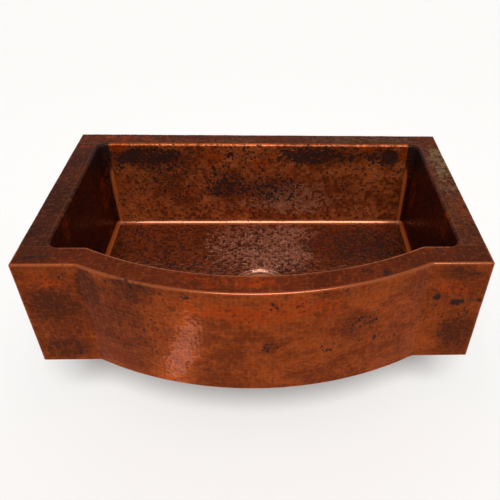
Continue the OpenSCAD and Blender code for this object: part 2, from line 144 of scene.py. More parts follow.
class DrainSizes(bpy.types.PropertyGroup):
    """Sizes of the drain and its basket; heights come from the frame."""

    hole: length("Hole", "Radius of the hole in the floor", 44.5)
    recess: length("Recess", "Radius of the recess in the floor", 67)
    recess_depth: length("Recess depth", "Depth of the recess", 5)
    shoulder: length("Shoulder", "Radius of the recess's upper bend", 4)
    flange: length("Flange", "Radius of the flange", 57.15)
    flange_t: length("Flange thickness", "Thickness of the flange", 2.2)
    flange_fall: length("Flange fall", "Width of the flange's falling edge", 6)
    mouth: length("Mouth", "Radius of the rounding into the cup", 4)
    cup: length("Cup", "Outer radius of the threaded cup", 42.5)
    cup_wall: length("Cup wall", "Wall of the cup", 2)
    cup_depth: length("Cup depth", "Depth of the cup", 46)
    foot: length("Foot", "Bevel at the cup's foot", 4)
    seat: length("Seat", "Thickness of the seat", 2.5)
    waste: length("Waste", "Radius of the waste opening", 21)
    outlet: length("Outlet", "Outer radius of the outlet", 23.8)
    spoke: length("Spoke", "Width of the spokes", 3)
    hub: length("Hub", "Outer radius of the hub", 7)
    hub_length: length("Hub length", "Length of the hub", 9)
    pitch: length("Thread pitch", "Pitch of the large thread", 2.2)
    fit: length("Fit", "Clearance round threads and the stem", 0.1)
    lug: length("Lug", "How far the locknut's lugs stand out", 6)
    lug_width: length("Lug width", "Width of a lug", 12)
    coupling_lip: length("Coupling lip", "Thickness of the coupling nut's lip", 3)
    coupling_gap: length("Coupling gap", "Clearance of the nut round the tailpiece", 0.6)
    tail: length("Tailpiece", "Outer radius of the tailpiece", 19.05)
    tail_wall: length("Tailpiece wall", "Wall of the tailpiece", 1.2)
    tail_flange_t: length("Tailpiece flange", "Thickness of the tailpiece's flange", 1.6)
    basket_sheet: length("Basket sheet", "Thickness of the basket's sheet", 0.8)
    basket_base: length("Basket base", "Radius of the basket's bottom", 32)
    basket_top: length("Basket top", "Radius of the basket's wall at its top", 35.5)
    slots: IntProperty(name="Slots", description="Number of slots in the basket's wall", default=18)
    slot: length("Slot", "Width of a slot", 3)
    slot_height: length("Slot height", "Height of a slot", 15)
    slot_start: length("Slot start", "Height of the slots above the bottom", 6)
    drip: length("Drip hole", "Radius of a hole in the bottom", 2.2)
    stem: length("Stem", "Radius of the stem", 3.1)
    stem_flange: length("Stem flange", "Radius of the stem's flange", 6)
    stem_flange_t: length("Stem flange thickness", "Thickness of the stem's flange", 1.2)
    knob_wall: length("Knob wall", "Wall of the knob round the stem", 1.9)


class StageSettings(bpy.types.PropertyGroup):
    """Lamps and floor."""

    sun: FloatProperty(name="Sun", description="Strength of the soft main light", default=2.9, min=0)
    world: FloatProperty(name="World", description="Strength of the surroundings", default=0.26, min=0)
    strip: FloatProperty(name="Strip", description="Power of the low strip lamp", default=0.2, min=0)
    top: FloatProperty(name="Top", description="Power of the lamp overhead", default=1.3, min=0)
    floor: colour_property("Floor", "Colour of the floor", (0.965, 0.956, 0.940))


# Shader expressions


class Value:
    """A socket of a material that can be used in Python's sums and products."""

    def __init__(self, paint, socket):
        self.paint = paint
        self.socket = socket

    def maths(self, operation, *others):
        return self.paint.add("Math", {"operation": operation}, dict(enumerate((self, *others))))

    def __add__(self, other):
        return self.maths("ADD", other)

    def __sub__(self, other):
        return self.maths("SUBTRACT", other)

    def __rsub__(self, other):
        return self.paint.add("Math", {"operation": "SUBTRACT"}, {0: other, 1: self})

    def __mul__(self, other):
        return self.maths("MULTIPLY", other)

    def most(self, other):
        return self.maths("MAXIMUM", other)

    __radd__ = __add__
    __rmul__ = __mul__

    def step(self, low, high):
        """0 below low, 1 above high and smooth between."""
        settings = {"interpolation_type": "SMOOTHSTEP"}
        return self.paint.add("MapRange", settings, {"Value": self, "From Min": low, "From Max": high})


class Paint:
    """The nodes of a material or of the world."""

    def __init__(self, owner):
        self.owner = owner
        owner.use_nodes = True
        self.tree = owner.node_tree
        self.tree.nodes.clear()

    def add(self, kind, settings=None, sockets=None, out=0):
        """Adds a node of a kind, sets it, fills its sockets and returns one of its outputs."""
        node = self.tree.nodes.new("ShaderNode" + kind)
        for name, value in (settings or {}).items():
            setattr(node, name, value)
        for name, value in (sockets or {}).items():
            socket = node.inputs[name]
            if isinstance(value, Value):
                self.tree.links.new(value.socket, socket)
            elif socket.type == "RGBA" and len(value) == 3:
                socket.default_value = (*value, 1)
            else:
                socket.default_value = value
        return Value(self, node.outputs[out])

    def mix(self, share, low, high):
        """Mixes two colours."""
        sockets = {MIX_SHARE: share, MIX_LOW: low, MIX_HIGH: high}
        return self.add("Mix", {"data_type": "RGBA"}, sockets, out=MIX_COLOUR)

    def noise(self, scale, detail=4, rough=0.55, distortion=0.0, squeeze=None):
        """Noise from 0 to 1 in the piece's own metres, squeezed along its axes."""
        place = self.add("TexCoord", out="Object")
        if squeeze:
            place = self.add("Mapping", {}, {"Vector": place, "Scale": squeeze})
        sockets = {"Vector": place, "Scale": scale, "Detail": detail, "Roughness": rough}
        return self.add("TexNoise", {}, {**sockets, "Distortion": distortion})

    def channels(self, name):
        """The three channels and the alpha of a colour attribute."""
        colour = self.add("Attribute", {"attribute_name": name}, out="Color")
        split = self.add("SeparateColor", {}, {"Color": colour}).socket.node
        alpha = colour.socket.node.outputs["Alpha"]
        return [*(Value(self, s) for s in split.outputs), Value(self, alpha)]

    def finish(self, **sockets):
        """Ends the material in one principled shader."""
        named = {name.replace("_", " "): value for name, value in sockets.items()}
        shader = self.add("BsdfPrincipled", {}, named, out="BSDF")
        return self.end("OutputMaterial", shader)

    def end(self, kind, shader):
        output = self.tree.nodes.new("ShaderNode" + kind)
        self.tree.links.new(shader.socket, output.inputs["Surface"])
        return self.owner


# Curves and surfaces of the sheet


def smooth_min(a, b, soft):
    blend = np.clip(soft - np.abs(a - b), 0, None) / soft
    return np.minimum(a, b) - blend * blend * soft / 4


def smooth_step(low, high, x):
    t = np.clip((x - low) / (high - low), 0, 1)
    return t * t * (3 - 2 * t)


class Section:
    """A line drawn by a pen that runs straight or turns, measured by its own length."""

    def __init__(self, start, heading):
        self.knots = [(0.0, *start, heading, 0.0)]
        self.length = 0.0

    @classmethod
    def through(cls, corners, radii):
        """A line through corners, with a bend of some radius at each inner one."""
        corners = np.asarray(corners, float)
        runs = np.diff(corners, axis=0)
        headings = np.arctan2(runs[:, 1], runs[:, 0])
        turns = np.diff(headings)
        cuts = [0, *np.abs(np.asarray(radii) * np.tan(turns / 2)), 0]
        section = cls(corners[0], headings[0])
        for i, run in enumerate(np.hypot(*runs.T)):
            section.straight(run - cuts[i] - cuts[i + 1])
            if i < len(turns):
                section.turn(radii[i], turns[i])
        return section

    def straight(self, run):
        return self.draw(run, 0.0)

    def turn(self, radius, angle):
        return self.draw(abs(angle) * radius, math.copysign(1 / radius, angle))

    def draw(self, run, bend):
        begin, x, z, heading, _ = self.knots[-1]
        self.knots[-1] = (begin, x, z, heading, bend)
        self.length = begin + run
        end_x, end_z = self.at(np.array([self.length]))
        self.knots.append((self.length, end_x[0], end_z[0], heading + bend * run, 0.0))
        return self

    def at(self, s):
        """Where the line is at each length."""
        knots = np.array(self.knots)
        begin, x, z, heading, bend = knots[np.clip(np.searchsorted(knots[:, 0], s, "right") - 1, 0, None)].T
        run = s - begin
        curved = np.where(bend == 0, 1, bend)
        turned = heading + bend * run
        along = np.where(bend == 0, run * np.cos(heading), (np.sin(turned) - np.sin(heading)) / curved)
        up = np.where(bend == 0, run * np.sin(heading), (np.cos(heading) - np.cos(turned)) / curved)
        return x + along, z + up

    def rows(self, spacing, bend_spacing):
        """Lengths at which a mesh has its rows, closer together where the line turns."""
        rows = [0.0]
        for (begin, _, _, _, bend), (end, *_) in zip(self.knots, self.knots[1:]):
            step = bend_spacing if bend else spacing * ROW
            count = max(1, round((end - begin) / step))
            rows += [begin + (end - begin) * (i + 1) / count for i in range(count)]
        return rows

    def bends(self, s, soft):
        """1 in the middle of each turn and 0 away from it."""
        mask = np.zeros_like(s)
        for (begin, _, _, _, bend), (end, *_) in zip(self.knots, self.knots[1:]):
            if bend:
                middle, half = (begin + end) / 2, (end - begin) / 2
                mask = np.maximum(mask, 1 - smooth_step(0.3 * half, half + soft, np.abs(s - middle)))
        return mask


class Plan:
    """The sink's outline and sections, from the frame's boxes and the sheet sizes."""

    def __init__(self, size):
        self.size = size
        apron_low, apron_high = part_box("apron_front")
        self.half_w = apron_high.x
        self.front_y = apron_low.y + size.bow
        self.side_end_y = apron_high.y
        self.back_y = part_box("rim_back")[1].y
        self.back_start_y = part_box("rim_back")[0].y
        self.top_z = apron_high.z
        self.apron_z = apron_low.z
        self.floor_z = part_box("basin_back_wall")[0].z + size.sheet
        self.inner_w = self.half_w - size.rim
        self.inner_front_y = self.front_y + size.rim
        self.inner_back_y = self.back_y - size.rim
        self.bow_r, self.bow_y = self.arc(self.half_w - size.flat, size.bow, self.front_y)
        self.basin_bow_r, self.basin_bow_y = self.arc(
            self.inner_w - size.basin_flat, size.basin_bow, self.inner_front_y
        )
        self.wall = self.wall_section()
        self.floor_in = self.wall.at(np.array([self.wall.length]))[0][0]
        self.corner_r = size.corner + self.floor_in

    @staticmethod
    def arc(half_chord, rise, y):
        """Radius and centre of an arc through two points at y and one in front of them."""
        radius = (half_chord**2 + rise**2) / (2 * rise)
        return radius, y + radius - rise

    def wall_section(self):
        """From the rim down into the basin and onto the floor; x is inwards."""
        size = self.size
        upright = math.pi / 2 - size.draft
        depth = self.top_z - self.floor_z
        bends = (size.rim_bend + size.floor_bend) * (1 - math.cos(upright))
        section = Section((-size.rim_bend, self.top_z), 0.0).turn(size.rim_bend, -upright)
        section.straight((depth - bends) / math.sin(upright))
        return section.turn(size.floor_bend, upright)

    def apron_section(self):
        """From the rim over the rolled edge and down to the lower edge; x is inwards."""
        size = self.size
        section = Section((size.edge, self.top_z), math.pi).turn(size.edge, math.pi / 2)
        return section.straight(self.top_z - self.apron_z - size.edge)

    def front(self, x, inset):
        """Where the apron lies at x, set in by a distance."""
        reach = np.clip((self.bow_r - inset) ** 2 - x * x, 0, None)
        return smooth_min(self.front_y + inset, self.bow_y - np.sqrt(reach), self.size.kink)

    def inner_front(self, x, inset):
        """Where the basin's front wall lies at x, set in by a distance."""
        reach = np.clip((self.basin_bow_r - inset) ** 2 - x * x, 0, None)
        return smooth_min(
            self.inner_front_y + inset, self.basin_bow_y - np.sqrt(reach), self.size.kink
        )

    def inner_rim(self, x):
        """Where the rim's flat meets the bend into the basin in front, and behind, at x."""
        grow = self.size.rim_bend
        radius = self.corner_r + grow
        past = np.clip(np.abs(x) - (self.inner_w - self.corner_r), 0, radius)
        corner = radius - np.sqrt(radius**2 - past**2)
        return self.inner_front(x, -grow) + corner, self.inner_back_y + grow - corner


# Blanks and their meshes


def grid_blank(left, right, rows, spacing):
    """A rectangular blank: its border, then the points inside it in offset rows."""
    count = max(1, round((right - left) / spacing))
    across = np.linspace(left, right, count + 1)
    rows = np.asarray(rows)
    border = np.vstack(
        [
            np.stack([across, np.full_like(across, rows[0])], 1)[:-1],
            np.stack([np.full_like(rows, right), rows], 1)[:-1],
            np.stack([across[::-1], np.full_like(across, rows[-1])], 1)[:-1],
            np.stack([np.full_like(rows, left), rows[::-1]], 1)[:-1],
        ]
    )
    inner = []
    for i, v in enumerate(rows[1:-1]):
        u = across[1:-1] if i % 2 else (across[:-1] + across[1:]) / 2
        inner.append(np.stack([u, np.full_like(u, v)], 1))
    return [border], np.vstack(inner)


def along(points, spacing):
    """Points along a closed outline, its corners kept."""
    points = np.asarray(points, float)
    parts = []
    for a, b in zip(points, np.roll(points, -1, 0)):
        count = max(1, round(np.hypot(*(b - a)) / spacing))
        parts.append(a + (b - a) * (np.arange(count) / count)[:, None])
    return np.vstack(parts)


def ring(radius, count, turn=0.0):
    angle = (np.arange(count) + turn) * 2 * math.pi / count
    return radius * np.stack([np.cos(angle), np.sin(angle)], 1)


def spans(border, v):
    """The stretches of a row at v that lie inside a closed outline."""
    a, b = border, np.roll(border, -1, 0)
    crossing = (a[:, 1] > v) != (b[:, 1] > v)
    a, b = a[crossing], b[crossing]
    return np.sort(a[:, 0] + (v - a[:, 1]) / (b[:, 1] - a[:, 1]) * (b[:, 0] - a[:, 0])).reshape(-1, 2)


def inside(points, outline):
    """Whether each point lies inside a closed outline."""
    found = np.zeros(len(points), bool)
    x, y = points.T
    for (ax, ay), (bx, by) in zip(outline, np.roll(outline, -1, 0)):
        if ay != by:
            found ^= ((ay > y) != (by > y)) & (x < ax + (y - ay) / (by - ay) * (bx - ax))
    return found


def circle(count):
    return np.arange(count) * 2 * math.pi / count


def open_points(points, borders, gap):
    """The points that lie in no hole and no nearer than a gap to a border."""
    for hole in borders[1:]:
        points = points[~inside(points, hole)]
    return points[distances(points, np.vstack(borders)) > gap]


def filled_blank(borders, spacing, keep=None, rings=(), gap=0.3 * MM):
    """A blank of any outline: its borders, a lattice of points inside the first, and rings."""
    outside = borders[0]
    low, high = outside.min(0), outside.max(0)
    lattice = []
    step = spacing * ROW
    for i, v in enumerate(np.arange(low[1] + step, high[1], step)):
        for begin, end in spans(outside, v):
            first = math.ceil(begin / spacing) + (i % 2) / 2
            u = np.arange(first * spacing, end, spacing)
            lattice.append(np.stack([u, np.full_like(u, v)], 1))
    lattice = np.vstack(lattice)
    if keep:
        lattice = lattice[keep(*lattice.T)]
    inner = open_points(lattice, borders, 0.55 * spacing)
    if len(rings):
        inner = np.vstack([inner, open_points(np.vstack(rings), borders, gap)])
    return borders, inner


def distances(points, others):
    """Distance of each point to the nearest of the others."""
    tree = KDTree(len(others))
    for i, (u, v) in enumerate(others):
        tree.insert((u, v, 0), i)
    tree.balance()
    return np.array([tree.find((u, v, 0))[2] for u, v in points])


def triangles(borders, inner):
    """Triangles between the points of a blank, none in its holes."""
    points = np.vstack([*borders, inner])
    edges, start = [], 0
    for border in borders:
        count = len(border)
        edges += [(start + i, start + (i + 1) % count) for i in range(count)]
        start += count
    outline = [list(range(len(borders[0])))]
    found = delaunay_2d_cdt([Vector(p) for p in points], edges, outline, 1, 1e-9)
    if len(found[0]) != len(points):
        raise RuntimeError("a blank has points that lie on each other")
    faces = np.array(found[2])
    for hole in borders[1:]:
        faces = faces[~inside(points[faces].mean(1), hole)]
    a, b, c = (points[faces[:, i]] for i in range(3))
    turned = (b[:, 0] - a[:, 0]) * (c[:, 1] - a[:, 1]) < (b[:, 1] - a[:, 1]) * (c[:, 0] - a[:, 0])
    faces[turned] = faces[turned][:, ::-1]
    return points, faces


def normals(place, uv):
    """Unit normals of a surface at some points of its blank."""
    u, v = uv.T
    across = place(u + NUDGE, v) - place(u - NUDGE, v)
    up = place(u, v + NUDGE) - place(u, v - NUDGE)
    normal = np.cross(across, up)
    length = np.linalg.norm(normal, axis=1, keepdims=True)
    return normal / np.maximum(length, 1e-20)


def raw_mesh(name, points, faces):
    """A mesh object from points and groups of faces, with equal points joined."""
    keys = np.round(points / (0.2 * NUDGE)).astype(np.int64)
    keys = keys @ np.array([1, 1 << 21, 1 << 42])
    _, first, same = np.unique(keys, return_index=True, return_inverse=True)
    same = same.ravel()
    loops, starts, totals = [], [], []
    start = 0
    for group in faces:
        group = same[group]
        ordered = np.sort(group, axis=1)
        group = group[(ordered[:, 1:] != ordered[:, :-1]).all(1)]
        loops.append(group.ravel())
        starts.append(start + np.arange(len(group)) * group.shape[1])
        totals.append(np.full(len(group), group.shape[1]))
        start += group.size
    loops, starts, totals = map(np.concatenate, (loops, starts, totals))
    mesh = bpy.data.meshes.new(name)
    mesh.vertices.add(len(first))
    mesh.vertices.foreach_set("co", points[first].astype(np.float32).ravel())
    mesh.loops.add(len(loops))
    mesh.loops.foreach_set("vertex_index", loops.astype(np.int32))
    mesh.polygons.add(len(starts))
    mesh.polygons.foreach_set("loop_start", starts.astype(np.int32))
    mesh.polygons.foreach_set("loop_total", totals.astype(np.int32))
    mesh.update(calc_edges=True)
    mesh.validate()
    mesh.shade_smooth()
    piece = bpy.data.objects.new(name, mesh)
    bpy.context.scene.collection.objects.link(piece)
    return piece, first


def finish_piece(piece, node, body, material, sharp=50):
    """Marks sharp edges, gives the piece its material and puts it in its node's place."""
    piece.data.set_sharp_from_angle(angle=math.radians(sharp))
    piece.data.materials.append(material)
    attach(piece, body)
    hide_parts(node)


class Hammer:
    """Marks in rows, a little out of line, as a hammer leaves them, on slow waves."""

    # How many marks come before they repeat, and the square of a mark's radius in pitches
    GRID = 256
    REACH = 0.42

    def __init__(self, marks, seed, force=1.0):
        random = np.random.default_rng(marks.seed + seed)
        self.pitch = marks.pitch
        self.depth = marks.depth * force
        self.wave = marks.wave
        self.shift = random.uniform(-0.32, 0.32, (self.GRID, self.GRID, 2))
        self.deep = random.uniform(0.4, 1.3, (self.GRID, self.GRID))
        self.tone = random.uniform(0, 1, (self.GRID, self.GRID))
        self.phases = random.uniform(0, 2 * math.pi, 6)

    def marks_at(self, u, v):
        """How deep the marks are, from 0 to about 1, and the tone of the nearest one."""
        cell_u, cell_v = np.floor(u / self.pitch).astype(int), np.floor(v / self.pitch).astype(int)
        hollow, tone = np.zeros_like(u), np.full_like(u, 0.5)
        for i in (-1, 0, 1):
            for j in (-1, 0, 1):
                a, b = (cell_u + i) % self.GRID, (cell_v + j) % self.GRID
                du = u / self.pitch - (cell_u + i + 0.5 + self.shift[a, b, 0])
                dv = v / self.pitch - (cell_v + j + 0.5 + self.shift[a, b, 1])
                bowl = self.deep[a, b] * (1 - (du * du + dv * dv) / self.REACH)
                nearest = bowl > hollow
                hollow[nearest], tone[nearest] = bowl[nearest], self.tone[a, b][nearest]
        return hollow, tone

    def height(self, u, v, hollow):
        """Height of the hammered face."""
        a, b, c, d, e, f = self.phases
        slow = np.sin(u * 34 + a) * np.sin(v * 41 + b) + 0.5 * np.sin(u * 83 + c) * np.sin(v * 71 + d)
        slow = slow + 0.3 * np.sin(u * 151 + v * 60 + e) * np.sin(v * 133 - u * 50 + f)
        return self.wave * slow - self.depth * hollow


def counter_clockwise(loop):
    a, b = loop, np.roll(loop, -1, 0)
    return (a[:, 0] * b[:, 1] - b[:, 0] * a[:, 1]).sum() > 0


class Shell:
    """A closed piece of sheet, from a blank and the place of each of its points."""

    def __init__(self, place, blank, thickness, back=None, side=1, bend=None, hammer=None):
        borders = [b if counter_clockwise(b) == (i == 0) else b[::-1] for i, b in enumerate(blank[0])]
        uv, front_faces = triangles(borders, blank[1])
        back_uv, back_faces = triangles(borders, blank[1] if back is None else back)
        bends = bend(uv) if bend else np.zeros(len(uv))
        front = place(*uv.T)
        hollow, tone = np.zeros(len(uv)), np.full(len(uv), 0.5)
        if hammer:
            edge = np.vstack(borders)
            gap = np.zeros(len(uv))
            gap[len(edge):] = distances(uv[len(edge):], edge)
            free = smooth_step(0, 7 * MM, gap) * (1 - bends)
            hollow, tone = hammer.marks_at(*uv.T)
            height = free * hammer.height(*uv.T, hollow)
            front = front + side * normals(place, uv) * height[:, None]
            hollow = hollow * smooth_step(0, 3 * MM, gap) * (1 - bends)
        behind = place(*back_uv.T) - side * normals(place, back_uv) * thickness
        count, start, walls = len(uv), 0, []
        for border in borders:
            here = start + np.arange(len(border))
            after = np.roll(here, -1)
            walls.append(np.stack([after, here, count + here, count + after], 1))
            start += len(border)
        faces = [front_faces, count + back_faces[:, ::-1], np.vstack(walls)]
        self.faces = [group[:, ::side] for group in faces]
        self.points = np.vstack([front, behind])
        # Bend, hollow, tone and 1 where it is the back, for each point
        front_marks = np.stack([bends, hollow, tone, np.zeros(count)], 1)
        self.marks = np.vstack([front_marks, np.tile([0, 0.5, 0.5, 1], (len(behind), 1))])


def blobs(first, second, patches):
    """Soft patches, each given by its middle, its half sizes and its strength, in millimetres."""
    mask = np.zeros_like(first)
    for middle_a, middle_b, half_a, half_b, strength in patches:
        reach = np.hypot((first / MM - middle_a) / half_a, (second / MM - middle_b) / half_b)
        mask = mask + strength * (1 - smooth_step(0.35, 1.35, reach))
    return mask


def join(name, solids):
    """One mesh object from closed solids, each its points and groups of faces."""
    points, faces, start = [], [], 0
    for solid_points, groups in solids:
        points.append(solid_points)
        faces += [start + group for group in groups]
        start += len(solid_points)
    return raw_mesh(name, np.vstack(points), faces)


def store(piece, name, values):
    attribute = piece.data.attributes.new(name, "FLOAT_COLOR", "POINT")
    attribute.data.foreach_set("color", np.clip(values, 0, 1).astype(np.float32).ravel())


def sheet_piece(node, slot, material, shells, axes, char=(), ember=(), slate=()):
    """Joins shells into one hammered piece and stores the masks of its patina and painted sheen on it."""
    piece, first = join(node, [(shell.points, shell.faces) for shell in shells])
    points = np.vstack([shell.points for shell in shells])[first]
    marks = np.vstack([shell.marks for shell in shells])[first]
    places = points[:, axes[0]], points[:, axes[1]]
    masks = [blobs(*places, group) for group in (char, ember, slate)]
    store(piece, "patina", np.stack([*masks, marks[:, 0]], 1))
    store(piece, "hammer", np.hstack([marks[:, 1:], marks[:, :1]]))
    finish_piece(piece, node, SINK, material)


def soften(outline, radius, steps=3):
    """Rounds the corners of a closed outline, apart from those on the axis."""
    outline = np.asarray(outline, float)
    points = []
    for before, here, after in zip(np.roll(outline, 1, 0), outline, np.roll(outline, -1, 0)):
        back, ahead = before - here, after - here
        reach = min(radius, 0.45 * np.hypot(*back), 0.45 * np.hypot(*ahead)) * (here[0] != 0)
        back, ahead = reach * back / np.hypot(*back), reach * ahead / np.hypot(*ahead)
        for t in np.linspace(0, 1, steps + 1) if reach else [0]:
            points.append(here + (1 - t) ** 2 * back + t**2 * ahead)
    return np.array(points)


def refine(outline, radius, spacing):
    """Adds points along the stretches of an outline that run at one radius."""
    points = []
    for a, b in zip(outline, np.roll(outline, -1, 0)):
        upright = abs(a[0] - radius) + abs(b[0] - radius) < NUDGE
        count = max(1, round(abs(b[1] - a[1]) / spacing)) if upright else 1
        points.append(a + (b - a) * (np.arange(count) / count)[:, None])
    return np.vstack(points)


def lathe(outline, angles, shape=None):
    """A solid: a closed outline of radius and height, turned about the drain's axis."""
    outline = np.asarray(outline, float)
    if not counter_clockwise(outline):
        outline = outline[::-1]
    rows, columns = len(outline), len(angles)
    radius = np.repeat(outline[:, :1], columns, 1)
    height = np.repeat(outline[:, 1:], columns, 1)
    if shape:
        radius = shape(angles[None, :], radius, height)
    points = np.stack([radius * np.cos(angles), radius * np.sin(angles), height], 2).reshape(-1, 3)
    i, j = np.divmod(np.arange(rows * columns), columns)
    i_next, j_next = (i + 1) % rows, (j + 1) % columns
    a, b = i * columns + j, i * columns + j_next
    c, d = i_next * columns + j_next, i_next * columns + j
    # Triangles, so that only half of a face is lost where it meets the axis
    return points, [np.stack([a, b, c], 1), np.stack([a, c, d], 1)]


def turned_piece(node, body, finish, solids, sharp=35):
    """A piece of one or more turned solids, in the place of its node."""
    piece, _ = join(node, solids)
    finish_piece(piece, node, body, worn_material(finish), sharp)


def bar(start, end, width, height, bevel):
    """A solid: a bevelled bar from one point to another at one height."""
    start, end = np.array(start, float), np.array(end, float)
    run = (end - start) / np.linalg.norm(end - start)
    across = np.array([-run[1], run[0], 0])
    half = width / 2
    section = soften([(-half, 0), (half, 0), (half, height), (-half, height)], bevel)
    lift = np.array([0, 0, 1])
    points = np.vstack([p + section[:, :1] * across + section[:, 1:] * lift for p in (start, end)])
    count = len(section)
    i = np.arange(count)
    sides = np.stack([i, (i + 1) % count, count + (i + 1) % count, count + i], 1)
    k = np.arange(count // 2 - 1)
    cap = np.stack([k, k + 1, count - 2 - k, count - 1 - k], 1)
    return points, [sides, cap[:, ::-1], cap + count]


# Materials


def patina_material(
    name, colours, base, bright, dull_and_sheen_colour, dark=0.0, olive=0.0, rub=0.8, rubbed_and_lit=None, coat=0.05,
    marked=0.25, glints=0.0, rough=0.34, shine=0.3
):
    """Copper with fired patina under lacquer: colour in clouds, ragged black scale, rubbed bends
    lit by a painted highlight, and patches of painted sheen.

    Base and bright are its two main colours, dull_and_sheen_colour that of its dull patches, which
    on the floor, the lit walls and the right rim are a painted sheen. Dark gives more black scale,
    olive more of that tint, rub how far the bends take the rubbed_and_lit colour, rubbed
    copper with a painted highlight (a darker edge on the rims), marked how much the hammer marks
    differ, glints how strongly a painted glint lights the ridges of the sheen patches, rough the
    roughness under the lacquer, and shine how much more like metal the bends are.
    """
    paint = Paint(bpy.data.materials.new(name))
    # Masks of scale, ember, dull patches (partly a painted sheen) and bends (partly a painted highlight)
    scale, ember, dull, bend = paint.channels("patina")
    hollow, tone, behind, _ = paint.channels("hammer")
    clouds = paint.noise(8, detail=7, rough=0.6, distortion=0.5) - 0.5
    streaks = paint.noise(16, detail=6, rough=0.62, squeeze=(1, 1, 2.4)) - 0.5
    ragged = paint.noise(48, detail=7, rough=0.7) - 0.5
    grain = paint.noise(170, detail=6, rough=0.66) - 0.5
    fine = paint.noise(1100, detail=2, rough=0.6) - 0.5
    dab = tone - 0.5

    shade = 0.5 + clouds * 1.5 + streaks * 1.3 + ragged * 1.2 + grain * 0.9 + dab * marked
    shade = shade + ember * 0.2 - dull * 0.4
    colour = paint.mix(shade.step(0.2, 0.8), base, bright)
    glow = (ember + ragged * 1.5 + streaks * 0.8 + grain * 0.9 + dab * 0.2).step(0.3, 0.62)
    colour = paint.mix(glow * 0.9, colour, colours.ember)
    # Dull patches: dark patina on the apron, a painted sheen on the floor, the lit walls and the right rim
    dull_and_sheen_mask = (dull + ragged * 1.4 + grain * 1.8 + dab * 0.4).step(0.3, 0.75)
    colour = paint.mix(dull_and_sheen_mask * 0.8, colour, dull_and_sheen_colour)
    if olive:
        mossy = (paint.noise(6, detail=5, rough=0.5) - 0.5 + grain * 0.5 + dab * 0.1).step(0.02, 0.2)
        colour = paint.mix(mossy * olive, colour, colours.olive)

    burnt = scale + dark + ragged * 1.5 + grain * 2.6 + clouds * 0.8 + dab * (0.3 + marked)
    burnt = burnt.step(0.32, 0.66)
    flecks = (scale * 0.5 + dark + grain * 2.6 + ragged * 0.8 + dab * 0.4).step(0.37, 0.58)
    black = burnt.most(flecks * 0.8)
    colour = paint.mix(black * 0.95, colour, colours.char)
    # Some marks are darker, scale stays in the deep of them, and the ridges between are rubbed
    # and lighter, partly a painted highlight
    deep = (0.5 - tone + grain * 1.2).step(-0.1, 0.5)
    colour = paint.mix(deep * marked, colour, colours.char)
    pooled = (hollow + grain * 1.5 + ragged).step(0.5, 1.1)
    colour = paint.mix(pooled * (0.2 + 0.6 * marked), colour, colours.char)
    ridges = (0.34 - hollow + grain * 0.8).step(0.0, 0.4) * (1 - behind) * (1 - black)
    colour = paint.mix(ridges * 0.2, colour, colours.rubbed_and_lit)
    # Painted glints: a pale colour on the ridges of the sheen patches, where a lamp would glint
    if glints:
        bare_and_lit = ridges * dull_and_sheen_mask * (tone + grain).step(0.25, 0.8)
        colour = paint.mix(bare_and_lit * glints, colour, colours.glint_colour)

    # Bends take the rubbed_and_lit colour: rubbed copper with a painted highlight, and a darker edge on the
    # rims
    worn = (bend * 1.3 + ragged * 0.5 + grain * 0.2).step(0.4, 1.0) * (1 - black * 0.85)
    colour = paint.mix(worn * rub, colour, rubbed_and_lit or colours.rubbed_and_lit)
    colour = paint.mix(behind * 0.5, colour, colours.maroon)

    cells = paint.add(
        "TexVoronoi",
        {"feature": "SMOOTH_F1"},
        {"Vector": paint.add("TexCoord", out="Object"), "Scale": 150.0, "Smoothness": 0.25},
        out="Distance",
    )
    height = cells * cells * behind + fine * 0.10 + grain * 0.10 + black * 0.05
    return paint.finish(
        Base_Color=colour,
        Roughness=rough + grain * 0.25 + black * 0.18 - worn * 0.08,
        Metallic=0.4 + worn * shine - black * 0.25,
        Specular_IOR_Level=0.03,
        Specular_Tint=(1.0, 0.5, 0.3, 1.0),
        Coat_Weight=coat * (1 - dull_and_sheen_mask * 0.4) + worn * 0.4,
        Coat_Roughness=0.08,
        Coat_IOR=1.5,
        Normal=paint.add("Bump", {}, {"Height": height, "Strength": 0.45, "Distance": 0.6 * MM}),
    )


# Slot of each plain finish, its clean and its worn colour, its roughness, how much it is a metal,
# the scale of its clouds, its relief and its rings
FINISHES = {
    "drain_copper": (
        "drain_copper", (0.40, 0.155, 0.075), (0.22, 0.075, 0.034), 0.24, 0.95, 45.0, 0.22, 0.35
    ),
    "brass": ("brass", (0.55, 0.37, 0.13), (0.36, 0.22, 0.07), 0.22, 0.95, 80.0, 0.25, 0.5),
    "putty": ("putty", (0.50, 0.43, 0.32), (0.36, 0.30, 0.22), 0.85, 0.0, 90, 0.5, 0),
    "gasket_rubber": (
        "black_rubber", (0.022, 0.022, 0.023), (0.05, 0.05, 0.052), 0.62, 0.0, 70, 0.25, 0
    ),
    "fibre": ("fibre", (0.36, 0.24, 0.13), (0.24, 0.15, 0.08), 0.9, 0.0, 240, 0.45, 0),
    "cast_metal": ("cast_metal", (0.46, 0.45, 0.43), (0.27, 0.26, 0.25), 0.48, 0.85, 130, 0.4, 0),
    "washer_plastic": (
        "washer_plastic", (0.72, 0.71, 0.66), (0.62, 0.60, 0.54), 0.4, 0.0, 50, 0.1, 0
    ),
    "stopper_rubber": (
        "black_rubber", (0.018, 0.018, 0.019), (0.045, 0.045, 0.047), 0.5, 0.0, 60, 0.2, 0
    ),
}


